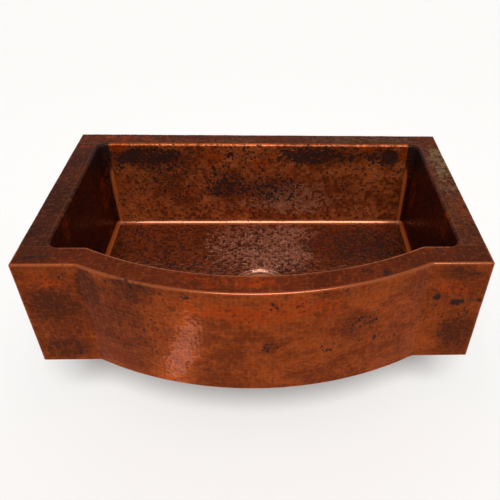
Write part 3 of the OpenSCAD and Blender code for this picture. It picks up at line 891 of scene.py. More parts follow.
def worn_material(name):
    """A finish with clouds of wear, fine grain, a little relief and, if turned, fine rings."""
    made = bpy.data.materials.get(name)
    if made:
        return made
    clean, worn, rough, metal, scale, bump, rings = FINISHES[name][1:]
    paint = Paint(bpy.data.materials.new(name))
    clouds = paint.noise(scale, detail=6, rough=0.62)
    grain = paint.noise(scale * 12, detail=3, rough=0.6) - 0.5
    share = (clouds + grain * 0.45).step(0.34, 0.68)
    height = grain * 0.6 + clouds * 0.4
    shine = rough + share * 0.16 + grain * 0.12
    if rings:
        kind = {"wave_type": "RINGS", "rings_direction": "Z", "wave_profile": "SAW"}
        place = paint.add("TexCoord", out="Object")
        sockets = {"Vector": place, "Scale": 420.0, "Distortion": 1.2, "Detail": 3.0}
        wave = paint.add("TexWave", kind, sockets, out="Fac")
        height = height + wave * rings
        shine = shine + wave * 0.06
    return paint.finish(
        Base_Color=paint.mix(share, clean, worn),
        Roughness=shine,
        Metallic=metal,
        Normal=paint.add("Bump", {}, {"Height": height, "Strength": bump, "Distance": 0.25 * MM}),
    )


# Operators


class SinkOperator:
    """What the sink's operators share."""

    bl_options = {"REGISTER", "UNDO"}

    def read_settings(self, scene):
        self.plan = Plan(scene.sink_sheet)
        self.marks = scene.sink_hammer
        self.colours = scene.sink_patina

    def grid(self, left, right, section):
        """A fine rectangular blank along a section, and the coarse points behind it."""
        fine, coarse = self.marks.spacing, self.marks.back_spacing
        rows = section.rows(fine, 0.5 * fine)
        blank = grid_blank(left, right, rows, fine)
        behind = grid_blank(left, right, section.rows(coarse, 2 * MM), coarse)
        return blank, behind[1]


class SINK_OT_basin(SinkOperator, bpy.types.Operator):
    """Adds the basin: its floor with the recess for the drain, and its four walls"""

    bl_idname = "sink.basin"
    bl_label = "Basin"

    def execute(self, context):
        self.read_settings(context.scene)
        colours = self.colours
        # Front and back walls: the lit copy of the basin's copper, with patches of painted sheen
        self.lit_wall = patina_material(
            "basin_lit_patina", colours, colours.brown[:], (0.38, 0.088, 0.022), colours.sheen_rose[:],
            dark=0.03, rub=0.75, rubbed_and_lit=(0.32, 0.105, 0.042), marked=0.4, glints=0.5
        )
        # Side walls: a painted-shade copy of the same copper, nearly black where the walls turn from the
        # light, with a painted highlight on their rounded corners
        self.shaded_wall = patina_material(
            "basin_side_shaded_patina", colours, (0.026, 0.006, 0.004), colours.maroon[:], colours.maroon[:],
            rub=0.85, rubbed_and_lit=(0.34, 0.070, 0.014), shine=-0.4
        )
        # The floor's pale dull colour and its glints paint a sheen on the hammer marks
        self.floor_finish = patina_material(
            "floor_patina_and_sheen", colours, (0.11, 0.019, 0.004), (0.155, 0.028, 0.006), (0.31, 0.112, 0.062),
            dark=-0.02, rub=0.35, coat=0.45, marked=0.7, glints=0.9
        )
        self.front_and_back()
        self.sides()
        self.floor(context.scene.sink_drain)
        return {"FINISHED"}

    def wall(self, node, place, left, right, side, seed, force, material, top, ends, axes, **patches):
        """One wall; top is how bare and lit its upper bend is, and ends how much of a corner each point is.
        Both paint a highlight on the bends together with the rubbed copper.
        """
        plan = self.plan
        blank, behind = self.grid(left, right, plan.wall)
        upper = 2 * plan.size.rim_bend

        def bend(uv):
            bare_and_lit = np.where(uv[:, 1] < upper, top, 1.0)
            return bare_and_lit * np.maximum(plan.wall.bends(uv[:, 1], 2 * MM), ends(uv))

        hammer = Hammer(self.marks, seed, force)
        shell = Shell(place, blank, plan.size.sheet, behind, side, bend, hammer)
        sheet_piece(node, "copper_basin", material, [shell], axes, **patches)

    def front_and_back(self):
        plan = self.plan
        end = plan.inner_w - plan.corner_r

        def front(u, v):
            inset, z = plan.wall.at(v)
            return np.stack([u, plan.inner_front(u, inset), z], 1)

        def back(u, v):
            inset, z = plan.wall.at(v)
            return np.stack([u, plan.inner_back_y - inset, z], 1)

        def none(uv):
            return np.zeros(len(uv))

        self.wall(
            "basin_front_wall", front, -end, end, 1, 11, 1.0, self.lit_wall, 0.8, none, (0, 2),
            char=[(-150, 120, 120, 40, 0.3), (160, 170, 110, 30, 0.35)], ember=[(0, 60, 150, 40, 0.35)],
            slate=[(60, 110, 100, 40, 0.35)],
        )
        char = [
            (-272, 189, 122, 24, 0.8), (-230, 119, 86, 42, 0.34), (-80, 106, 62, 46, 0.56),
            (-194, 71, 29, 18, 0.4), (136, 190, 92, 31, 0.75), (-250, 160, 110, 24, 0.3),
            (30, 97, 66, 45, 0.55), (292, 186, 40, 24, 0.6), (311, 182, 24, 30, 0.55),
            (245, 192, 29, 16, 0.35), (212, 103, 40, 17, 0.28), (-24, 180, 141, 37, 0.16),
            (-329, 207, 20, 13, -0.6), (255, 208, 14, 10, -0.4), (345, 195, 19, 21, -0.4),
        ]
        ember = [
            (-329, 207, 23, 15, 0.9), (-212, 155, 31, 22, 0.45), (-115, 185, 42, 32, 0.5),
            (-344, 119, 24, 42, 0.35), (-287, 38, 69, 30, 0.3), (13, 180, 42, 35, 0.5),
            (345, 195, 19, 21, 0.9), (255, 208, 17, 13, 0.6), (-173, 91, 24, 23, 0.4),
            (-20, 120, 45, 50, 0.35), (-280, 100, 60, 50, 0.25),
        ]
        # The slate patches of the back wall paint a pale sheen
        slate = [(92, 70, 90, 60, 0.6), (-15, 90, 90, 70, 0.45), (211, 53, 56, 36, 0.2)]
        self.wall(
            "basin_back_wall", back, -end, end, -1, 12, 1.7, self.lit_wall, 0.4, none, (0, 2),
            char=char, ember=ember, slate=slate,
        )

    def sides(self):
        plan = self.plan
        quarter = plan.corner_r * math.pi / 2
        run = plan.inner_back_y - plan.inner_front_y - 2 * plan.corner_r

        def side_wall(sign):
            def place(u, v):
                inset, z = plan.wall.at(v)
                radius = plan.corner_r - inset
                front = np.clip(u, None, quarter) / plan.corner_r
                back = np.clip(u - quarter - run, 0, None) / plan.corner_r
                angle = 1.5 * math.pi - front - back
                straight = np.clip(u - quarter, 0, run)
                x = -(plan.inner_w - plan.corner_r) + radius * np.cos(angle)
                y = plan.inner_front_y + plan.corner_r + straight + radius * np.sin(angle)
                return np.stack([-sign * x, y, z], 1)

            return place

        # The rounded corners below the rim take the rubbed_and_lit colour: rubbed copper and a painted
        # highlight
        def ends(uv):
            inwards = np.minimum(uv[:, 0], 2 * quarter + run - uv[:, 0])
            below = smooth_step(20 * MM, 110 * MM, uv[:, 1])
            return below * (1 - smooth_step(0.1 * quarter, 0.6 * quarter, inwards))

        char = [
            (225, 207, 70, 30, 1.0), (89, 175, 53, 20, 0.3), (11, 128, 95, 12, 0.25),
            (-60, 60, 60, 60, 0.15),
        ]
        ember = [
            (216, 107, 36, 60, 0.5), (-29, 195, 25, 40, 0.4), (200, 8, 34, 24, 0.5),
            (147, 190, 35, 21, 0.2),
        ]
        end = 2 * quarter + run
        for node, sign, seed in (("basin_left_wall", -1, 13), ("basin_right_wall", 1, 14)):
            self.wall(
                node, side_wall(sign), 0, end, sign, seed, 1.0, self.shaded_wall, 0.25, ends, (1, 2),
                char=char, ember=ember,
            )

    def floor(self, drain):
        plan, marks = self.plan, self.marks
        size = plan.size
        inset, corner = plan.floor_in, size.corner
        half, back = plan.inner_w - inset, plan.inner_back_y - inset
        front_x = np.linspace(-(half - corner), half - corner, round(2 * half / marks.spacing))
        front = np.stack([front_x, plan.inner_front(front_x, inset)], 1)
        corners = [
            (half - corner, plan.inner_front_y + inset + corner, -90),
            (half - corner, back - corner, 0),
            (-half + corner, back - corner, 90),
            (-half + corner, plan.inner_front_y + inset + corner, 180),
        ]
        rest = []
        for x, y, begin in corners:
            angle = np.radians(begin + np.array([22.5, 45, 67.5, 90]))
            rest.append(np.stack([x + corner * np.cos(angle), y + corner * np.sin(angle)], 1))
        outline = np.vstack([front[:-1], front[-1:], *rest])
        apart = np.hypot(*(outline - np.roll(outline, 1, 0)).T) > 0.05 * MM
        border = along(outline[apart], marks.spacing)

        recess = self.recess_section(drain)
        rows = recess.at(recess.rows(1.8 * MM, 0.75 * MM))[0]
        steps = 224
        rings = [ring(drain.hole + row, steps, (i % 2) / 2) for i, row in enumerate(rows)]
        edge_r = drain.recess + marks.spacing

        def keep(x, y):
            return np.hypot(x, y) > edge_r

        across, heights = recess.at(np.linspace(0, recess.length, 500))

        def place(x, y):
            return np.stack([x, y, np.interp(np.hypot(x, y) - drain.hole, across, heights)], 1)

        # The recess's shoulder takes the rubbed_and_lit colour: rubbed copper and a painted highlight
        def bend(uv):
            radius = np.hypot(*uv.T)
            return 0.7 * (1 - smooth_step(drain.recess - 2 * MM, drain.recess + 5 * MM, radius))

        blank = filled_blank([border, rings[0]], marks.spacing, keep, rings[1:])
        behind = filled_blank([border, rings[0]], marks.back_spacing, keep, rings[2::3])[1]
        shell = Shell(place, blank, size.sheet, behind, 1, bend, Hammer(marks, 15, 1.7))
        char = [
            (-291, 203, 22, 12, 0.4), (-204, 87, 18, 14, 0.4), (107, 157, 32, 28, 0.38),
            (245, 150, 110, 80, 0.6), (-254, 155, 33, 20, 0.2),
        ]
        ember = [(-322, 199, 34, 41, 0.25), (305, 214, 23, 17, 0.4), (-219, 159, 33, 31, 0.2)]
        # The slate patches of the floor paint a pale sheen
        slate = [(-20, 160, 140, 120, 0.6), (58, 110, 92, 85, 0.4), (97, 215, 70, 40, 0.3)]
        sheet_piece("basin_floor", "copper_basin", self.floor_finish, [shell], (0, 1), char, ember, slate)

    def recess_section(self, size):
        """From the drain hole outwards: the seat, the foot and the shoulder of the recess."""
        slope = math.radians(60)
        low, high = self.plan.floor_z - size.recess_depth, self.plan.floor_z
        foot = size.recess_depth / (1 - math.cos(slope)) - size.shoulder
        upper_x = size.recess - size.shoulder * math.tan(slope / 2)
        lower_x = upper_x - size.recess_depth / math.tan(slope)
        ends = [(0, low), (lower_x - size.hole, low)]
        corners = [*ends, (upper_x - size.hole, high), (size.recess - size.hole, high)]
        return Section.through(corners, [foot, size.shoulder])


class SINK_OT_rim(SinkOperator, bpy.types.Operator):
    """Adds the rim: four flat strips, three of them with lips turned down"""

    bl_idname = "sink.rim"
    bl_label = "Rim"

    def execute(self, context):
        self.read_settings(context.scene)
        plan, colours = self.plan, self.colours
        size = plan.size
        self.straight = plan.half_w - size.edge
        self.back_edge = plan.back_y - size.edge
        self.roll = Section((0.0, plan.top_z), 0.0).turn(size.edge, -math.pi / 2)
        self.roll.straight(size.lip - size.edge)
        self.reach = self.roll.length
        # The left, right and back rims' rubbed_and_lit colours are dark, so their rolled edges come out
        # darker than the flats
        left = patina_material(
            "rim_left_patina", colours, (0.030, 0.007, 0.003), (0.060, 0.012, 0.004), (0.050, 0.018, 0.011),
            rub=0.6, rubbed_and_lit=(0.045, 0.012, 0.005), rough=0.5
        )
        # The right rim's pale grey dull colour and its glints paint a sheen
        right = patina_material(
            "rim_right_patina_and_sheen", colours, (0.062, 0.014, 0.004), (0.108, 0.026, 0.007),
            (0.145, 0.098, 0.048), dark=-0.03, rub=0.6, rubbed_and_lit=(0.045, 0.012, 0.005), marked=0.5, glints=0.4
        )
        back = patina_material(
            "rim_back_patina", colours, (0.048, 0.010, 0.003), (0.095, 0.017, 0.004), (0.072, 0.048, 0.026),
            dark=-0.04, olive=0.4, rub=0.5, rubbed_and_lit=(0.040, 0.010, 0.004), marked=0.35, rough=0.46
        )
        front = patina_material(
            "rim_front_patina", colours, (0.078, 0.011, 0.002), (0.125, 0.018, 0.003),
            (0.052, 0.013, 0.006), dark=-0.07, rub=0.3, marked=0.12
        )
        self.front_strip(front)
        self.side_strips(left, right)
        self.back_strip(back)
        return {"FINISHED"}

    def place(self, x, y):
        """The flat, the rolled edge and the lip, with fans round the back corners."""
        q_x = np.clip(x, -self.straight, self.straight)
        q_y = np.clip(y, None, self.back_edge)
        beyond = np.stack([x - q_x, y - q_y], 1)
        length = np.hypot(*beyond.T)
        outwards = beyond / np.maximum(length, 1e-12)[:, None]
        out, z = self.roll.at(length)
        return np.stack([q_x + outwards[:, 0] * out, q_y + outwards[:, 1] * out, z], 1)

    def bend(self, uv):
        x, y = uv.T
        past = np.maximum(np.abs(x) - self.straight, y - self.back_edge)
        return 0.55 * self.roll.bends(past, 1.5 * MM) * (past > -1 * MM)

    def strip(self, node, outline, material, seed, force, **patches):
        marks = self.marks
        borders = [along(outline, marks.spacing)]
        blank = filled_blank(borders, marks.spacing)
        behind = filled_blank(borders, 0.5 * marks.back_spacing)[1]
        hammer = Hammer(marks, seed, force)
        shell = Shell(self.place, blank, self.plan.size.sheet, behind, 1, self.bend, hammer)
        sheet_piece(node, "copper_rim", material, [shell], (0, 1), **patches)

    def front_strip(self, material):
        plan = self.plan
        step = 2 * MM
        outer = np.arange(-self.straight, self.straight + step / 2, step)
        outer = np.append(outer[outer < self.straight - step / 4], self.straight)
        front = np.stack([outer, plan.front(outer, plan.size.edge)], 1)
        inner = self.inner_line(plan.side_end_y, 0)
        right, left = (self.straight, plan.side_end_y), (-self.straight, plan.side_end_y)
        outline = np.vstack([front, [right], inner[::-1], [left]])
        char = [
            (-389, -156, 29, 11, 0.45), (-257, -178, 15, 11, 0.35), (111, -212, 17, 13, 0.38),
            (189, -195, 15, 10, 0.45), (224, -197, 14, 13, 0.4), (325, -138, 15, 14, 0.35),
            (270, -180, 90, 24, 0.18), (-330, -150, 60, 16, 0.15),
        ]
        ember = [(-9, -221, 115, 20, 0.35), (-150, -205, 80, 16, 0.2)]
        slate = [(-400, -150, 55, 50, 0.8), (400, -150, 60, 50, 0.7), (300, -170, 60, 30, 0.35)]
        self.strip("rim_front", outline, material, 21, 0.3, char=char, ember=ember, slate=slate)

    def inner_line(self, y_end, which):
        """The rim's edge at the basin's bend in front, 0, or behind, 1, out to where it meets y_end."""
        plan = self.plan
        grow = plan.size.rim_bend
        radius = plan.corner_r + grow
        past = (plan.inner_front_y - y_end, y_end - plan.inner_back_y)[which]
        level = past + plan.corner_r
        end_x = plan.inner_w - plan.corner_r + math.sqrt(radius**2 - level**2)
        x = np.linspace(-end_x, end_x, round(2 * end_x / (1.5 * MM)))
        return np.stack([x, plan.inner_rim(x)[which]], 1)

    def side_strips(self, left, right):
        plan = self.plan
        grow = plan.size.rim_bend
        radius = plan.corner_r + grow
        y = np.linspace(plan.side_end_y, plan.back_start_y, 190)
        into = np.maximum(plan.inner_front_y + plan.corner_r - y, y - plan.inner_back_y + plan.corner_r)
        inner_x = plan.inner_w - plan.corner_r + np.sqrt(radius**2 - np.clip(into, 0, None) ** 2)
        inner = np.stack([inner_x, y], 1)
        edge = self.straight + self.reach
        outline = np.vstack([[(edge, y[0]), (edge, y[-1])], inner[::-1]])
        # On the right rim the slate patches paint a sheen
        self.strip(
            "rim_right", outline, right, 22, 1.9, char=[(400, -60, 20, 40, 0.25), (380, 40, 12, 60, 0.2)],
            ember=[(414, 7, 29, 90, 0.28)], slate=[(407, 189, 30, 70, 0.75), (395, 90, 26, 60, 0.5)]
        )
        self.strip(
            "rim_left", outline * np.array([-1, 1]), left, 23, 0.9,
            char=[(-397, 169, 17, 22, 0.4), (-405, 53, 18, 15, 0.3), (-400, -69, 18, 16, 0.4)],
            ember=[(-385, 250, 25, 30, 0.25)], slate=[(-400, -90, 20, 40, 0.4), (-385, 30, 20, 60, 0.25)]
        )

    def back_strip(self, material):
        plan = self.plan
        inner = self.inner_line(plan.back_start_y, 1)
        edge = self.straight + self.reach
        arc = np.radians(np.linspace(0, 90, 22))
        corner = np.stack([np.cos(arc), np.sin(arc)], 1) * self.reach + (self.straight, self.back_edge)
        other = corner[::-1] * np.array([-1, 1])
        right, left = (edge, plan.back_start_y), (-edge, plan.back_start_y)
        outline = np.vstack([inner, [right], corner, other, [left]])
        slate = [
            (218, 284, 96, 20, 0.6), (94, 292, 60, 20, 0.4), (-397, 271, 18, 25, 0.3),
            (330, 284, 60, 20, 0.45),
        ]
        char = [(-60, 296, 110, 8, 0.25), (20, 270, 60, 8, 0.2), (-200, 296, 60, 8, 0.2)]
        ember = [(-320, 286, 80, 20, 0.4), (400, 270, 16, 20, 0.3), (-200, 280, 60, 14, 0.3)]
        self.strip("rim_back", outline, material, 24, 1.5, char=char, ember=ember, slate=slate)


class SINK_OT_apron(SinkOperator, bpy.types.Operator):
    """Adds the apron: two flats, the bow between them, the returns and the hem"""

    bl_idname = "sink.apron"
    bl_label = "Apron"

    def execute(self, context):
        self.read_settings(context.scene)
        plan, marks, colours = self.plan, self.marks, self.colours
        size = plan.size
        section = plan.apron_section()
        straight = plan.half_w - size.edge
        turn = size.edge * math.pi / 2
        end = straight + turn + plan.side_end_y - plan.front_y - size.edge

        def place(u, v):
            inset, z = section.at(v)
            past = np.clip(np.abs(u) - straight, 0, turn)
            run = np.clip(np.abs(u) - straight - turn, 0, None)
            angle = past / size.edge
            radius = size.edge - inset
            x = np.clip(u, -straight, straight) + np.sign(u) * radius * np.sin(angle)
            corner = plan.front_y + size.edge - radius * np.cos(angle) + run
            y = np.where(past > 0, corner, plan.front(u, inset))
            return np.stack([x, y, z], 1)

        # The rolled top edge and the returns take the rubbed_and_lit colour: rubbed copper and a painted
        # highlight
        def bend(uv):
            u, v = uv.T
            away = np.abs(np.abs(u) - straight - turn / 2)
            corner = 0.6 * (1 - smooth_step(0.2 * turn, 0.9 * turn, away))
            return np.maximum(section.bends(v, 1.5 * MM), corner)

        blank, behind = self.grid(-end, end, section)
        hammer = Hammer(marks, 1, 0.55)
        shells = [Shell(place, blank, size.sheet, behind, -1, bend, hammer)]
        kink = plan.half_w - size.flat
        notch, lift = 5 * MM, 0.4 * MM
        lefts = (-straight, notch - kink, kink + notch)
        rights = (-kink - notch, kink - notch, straight)
        for left, right in zip(lefts, rights):
            shells.append(self.hem(left, right, lift))
        char = [
            (-334, 193, 24, 11, 0.45), (-367, 124, 42, 30, 0.3), (-367, 10, 53, 26, 0.3),
            (-212, 210, 41, 16, 0.38), (-216, 179, 9, 12, 0.5), (-117, 203, 12, 9, 0.6),
            (-46, 186, 5, 14, 0.45), (32, 186, 15, 14, 0.3), (23, 91, 16, 18, 0.55),
            (184, 122, 42, 29, 0.42), (100, 138, 9, 7, 0.4), (149, 75, 57, 16, 0.28),
            (153, 207, 24, 9, 0.4), (329, 137, 9, 10, 0.9), (367, 124, 17, 9, 1.1),
            (393, 129, 6, 5, 0.8), (409, 129, 8, 10, 0.9), (394, 197, 25, 14, 0.35),
            # The patch at 290, 172 in this row paints the shadow beside the bow's right kink
            (290, 172, 17, 29, 0.3), (-197, 105, 6, 8, 0.7), (214, 75, 6, 8, 0.7), (60, 5, 6, 9, 0.5),
            (149, 187, 108, 24, 0.16),
        ]
        ember = [
            (-368, 177, 54, 32, 0.45), (-319, 59, 15, 48, 0.4), (-110, 170, 104, 38, 0.2),
            (40, 175, 160, 40, 0.5), (-180, 98, 27, 27, 0.4), (356, 159, 52, 20, 0.6),
            (342, 98, 15, 37, 0.3),
        ]
        slate = [
            (-367, 124, 47, 35, 0.75), (-367, 10, 53, 31, 0.55), (-294, 173, 21, 47, 0.9),
            (-212, 210, 41, 19, 0.45), (184, 122, 42, 29, 0.45), (23, 91, 16, 18, 0.5),
            # The patch at 290, 172 in this row paints the shadow beside the bow's right kink
            (363, 197, 50, 19, 0.45), (388, 35, 40, 51, 0.6), (290, 172, 17, 31, 0.35),
            # From here on, wide weak patches make the apron darker towards its two ends
            (-235, 100, 90, 110, 0.5), (-190, 190, 90, 30, 0.35), (-363, 110, 60, 120, 0.26),
            (363, 110, 60, 120, 0.26), (250, 60, 80, 60, 0.2), (380, 100, 60, 120, 0.15),
            (-370, 90, 70, 120, 0.2),
        ]
        material = patina_material(
            "apron_patina", colours, (0.130, 0.020, 0.002), colours.copper[:], (0.054, 0.011, 0.004),
            dark=-0.09, rubbed_and_lit=(0.25, 0.050, 0.006), coat=0.07, marked=0.12
        )
        sheet_piece("apron_front", "copper_apron", material, shells, (0, 2), char, ember, slate)
        return {"FINISHED"}

    def hem(self, left, right, lift):
        """A stretch of the hem, turned in along the lower edge."""
        plan = self.plan
        z = plan.apron_z + lift

        def place(u, v):
            return np.stack([u, plan.front(u, v), np.full_like(u, z)], 1)

        rows = np.linspace(plan.size.sheet / 2, plan.size.hem, 5)
        return Shell(place, grid_blank(left, right, rows, 4 * MM), plan.size.sheet, None, -1)


class DrainOperator(SinkOperator):
    """What the operators of the drain's pieces share."""

    def read_settings(self, scene):
        super().read_settings(scene)
        self.size = scene.sink_drain
        low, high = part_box("strainer_body")
        self.outlet_z, self.drain_top = low.z, high.z
        self.seat_z = high.z - self.size.cup_depth

    def thread(self, radius, low, high, pitch):
        """A shape that cuts a thread into what is at one radius between two heights."""

        def cut(angle, r, z):
            turn = (z / pitch - angle / (2 * math.pi)) % 1.0
            groove = 0.5 * pitch * (1 - np.abs(2 * turn - 1))
            fade = smooth_step(low, low + pitch, z) * smooth_step(high, high - pitch, z)
            return np.where(np.abs(r - radius) < NUDGE, r - groove * fade, r)

        return cut

    def hexagon(self, radius, bore):
        """A shape that gives what lies outside a bore six flats, its corners on a radius."""
        flat = radius * math.cos(math.pi / 6)

        def cut(angle, r, z):
            turn = angle % (math.pi / 3) - math.pi / 6
            return np.where(r > bore, np.minimum(r, flat / np.cos(turn)), r)

        return cut

    def washer(self, node, bore, round_off, finish, shape=None):
        """A ring in the place of a node, with rounded edges."""
        low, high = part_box(node)
        outline = soften([(bore, low.z), (high.x, low.z), (high.x, high.z), (bore, high.z)], round_off)
        turned_piece(node, SINK, finish, [lathe(outline, circle(120), shape)])


class SINK_OT_drain(DrainOperator, bpy.types.Operator):
    """Adds the strainer body with what seals and clamps it in the floor"""

    bl_idname = "sink.drain"
    bl_label = "Drain"

    def execute(self, context):
        self.read_settings(context.scene)
        size = self.size
        collar = size.cup + size.fit
        self.strainer()

        def squeezed(angle, r, z):
            bulge = np.sin(5 * angle) + 0.7 * np.sin(11 * angle + 1) + 0.5 * np.sin(23 * angle + 2)
            return np.where(r > 50 * MM, r - (0.35 + 0.15 * bulge) * MM, r)

        self.washer("putty_ring", collar, 0.3 * MM, "putty", squeezed)
        self.washer("rubber_gasket", collar, 1.2 * MM, "gasket_rubber")
        self.washer("fibre_ring", collar, 0.2 * MM, "fibre")
        self.locknut(collar)
        return {"FINISHED"}

    def strainer(self):
        size = self.size
        flange_z = self.drain_top - size.flange_t
        seat_low = self.seat_z - size.seat
        bore = size.cup - size.cup_wall
        mouth = np.radians(np.linspace(90, 180, 9))
        lip_r = bore + size.mouth * (1 + np.cos(mouth))
        lip = np.stack([lip_r, self.drain_top - size.mouth * (1 - np.sin(mouth))], 1)
        body = [
            (size.waste, self.outlet_z),
            (size.outlet, self.outlet_z),
            (size.outlet, seat_low),
            (size.cup - size.foot, seat_low),
            (size.cup, seat_low + size.foot),
            (size.cup, flange_z),
            (size.flange, flange_z),
            (size.flange, flange_z + size.flange_t / 3),
            (size.flange - size.flange_fall / 3, self.drain_top - size.flange_t / 4),
            (size.flange - size.flange_fall, self.drain_top),
            *lip,
            (bore, self.seat_z + 1.5 * size.foot),
            (bore - 0.3 * size.foot, self.seat_z + 0.4 * size.foot),
            (bore - size.foot, self.seat_z),
            (size.waste, self.seat_z),
        ]
        outline = soften(body, 0.5 * MM, 2)
        cup_low, outlet_high = seat_low + size.foot, seat_low - 1 * MM
        outline = refine(refine(outline, size.cup, size.pitch / 6), size.outlet, size.pitch / 6)
        cup_thread = self.thread(size.cup, cup_low, flange_z - 8 * MM, size.pitch)
        outlet_thread = self.thread(size.outlet, self.outlet_z, outlet_high, 0.8 * size.pitch)

        def threads(angle, r, z):
            return outlet_thread(angle, cup_thread(angle, r, z), z)

        hub_low = self.seat_z - size.hub_length
        guide = size.stem + size.fit
        hub = [(guide, hub_low), (size.hub, hub_low), (size.hub, self.seat_z), (guide, self.seat_z)]
        parts = [lathe(outline, circle(144), threads), lathe(soften(hub, 0.6 * MM), circle(48))]
        for degrees in (45, 135, 225, 315):
            way = np.array([math.cos(math.radians(degrees)), math.sin(math.radians(degrees)), 0])
            start, end = way * (size.hub - 1 * MM), way * (size.waste + 0.5 * MM)
            lift = np.array([0, 0, seat_low])
            parts.append(bar(start + lift, end + lift, size.spoke, size.seat, 0.5 * MM))
        turned_piece("strainer_body", SINK, "drain_copper", parts)

    def locknut(self, collar):
        size = self.size
        low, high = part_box("locknut")
        outer, root = high.x, high.x - size.lug
        shoulder = outer - 0.6 * MM
        half = size.lug_width / 2
        edges = [math.asin(half / root), math.asin((half - 0.4 * MM) / shoulder)]
        edges.append(math.asin((half - 1.2 * MM) / outer))
        turns = np.array([-edges[0], -edges[1], -edges[2], -edges[2] / 2, 0, edges[2] / 2, *edges[::-1]])
        between = np.linspace(edges[0], math.pi / 3 - edges[0], 14)[1:-1]
        angles = np.concatenate([i * math.pi / 3 + np.concatenate([turns, between]) for i in range(6)])

        def lugs(angle, r, z):
            turn = (angle + math.pi / 6) % (math.pi / 3) - math.pi / 6
            off = np.abs(turn)
            reach = np.interp(off, [0, edges[2], edges[1], edges[0]], [outer, outer, shoulder, root])
            flat = np.where(off <= edges[2] + 1e-6, reach / np.cos(turn), reach)
            return np.where(r > root - 2.5 * MM, r + flat - root, r)

        outline = [
            (collar, low.z), (root - 1 * MM, low.z), (root, low.z + 1 * MM),
            (root, high.z - 1 * MM), (root - 1 * MM, high.z), (collar, high.z),
        ]
        body = lathe(soften(outline, 0.3 * MM, 2), angles, lugs)
        turned_piece("locknut", SINK, "cast_metal", [body])


class SINK_OT_outlet(DrainOperator, bpy.types.Operator):
    """Adds the tailpiece with its washer and its coupling nut"""

    bl_idname = "sink.outlet"
    bl_label = "Outlet"

    def execute(self, context):
        self.read_settings(context.scene)
        size = self.size
        bore = size.tail - size.tail_wall
        self.washer("tailpiece_washer", bore, 0.5 * MM, "washer_plastic")
        low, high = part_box("tailpiece")
        under = high.z - size.tail_flange_t
        outline = [
            (bore, low.z), (size.tail, low.z), (size.tail, under), (high.x, under), (high.x, high.z),
            (bore, high.z),
        ]
        tube = lathe(soften(outline, 0.4 * MM), circle(120))
        turned_piece("tailpiece", SINK, "drain_copper", [tube])
        self.coupling()
        return {"FINISHED"}

    def coupling(self):
        size = self.size
        low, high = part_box("coupling_nut")
        radius, bevel = high.x, 1.5 * MM
        bore, inner = size.outlet + size.fit, size.tail + size.coupling_gap
        thread_z = low.z + size.coupling_lip
        outline = [
            (inner, low.z), (radius - 2 * bevel, low.z), (radius, low.z + bevel), (radius, high.z - bevel),
            (radius - 2 * bevel, high.z), (bore, high.z), (bore, thread_z), (inner, thread_z),
        ]
        nut = lathe(soften(outline, 0.3 * MM, 2), circle(144), self.hexagon(radius, bore + 1 * MM))
        turned_piece("coupling_nut", SINK, "drain_copper", [nut])


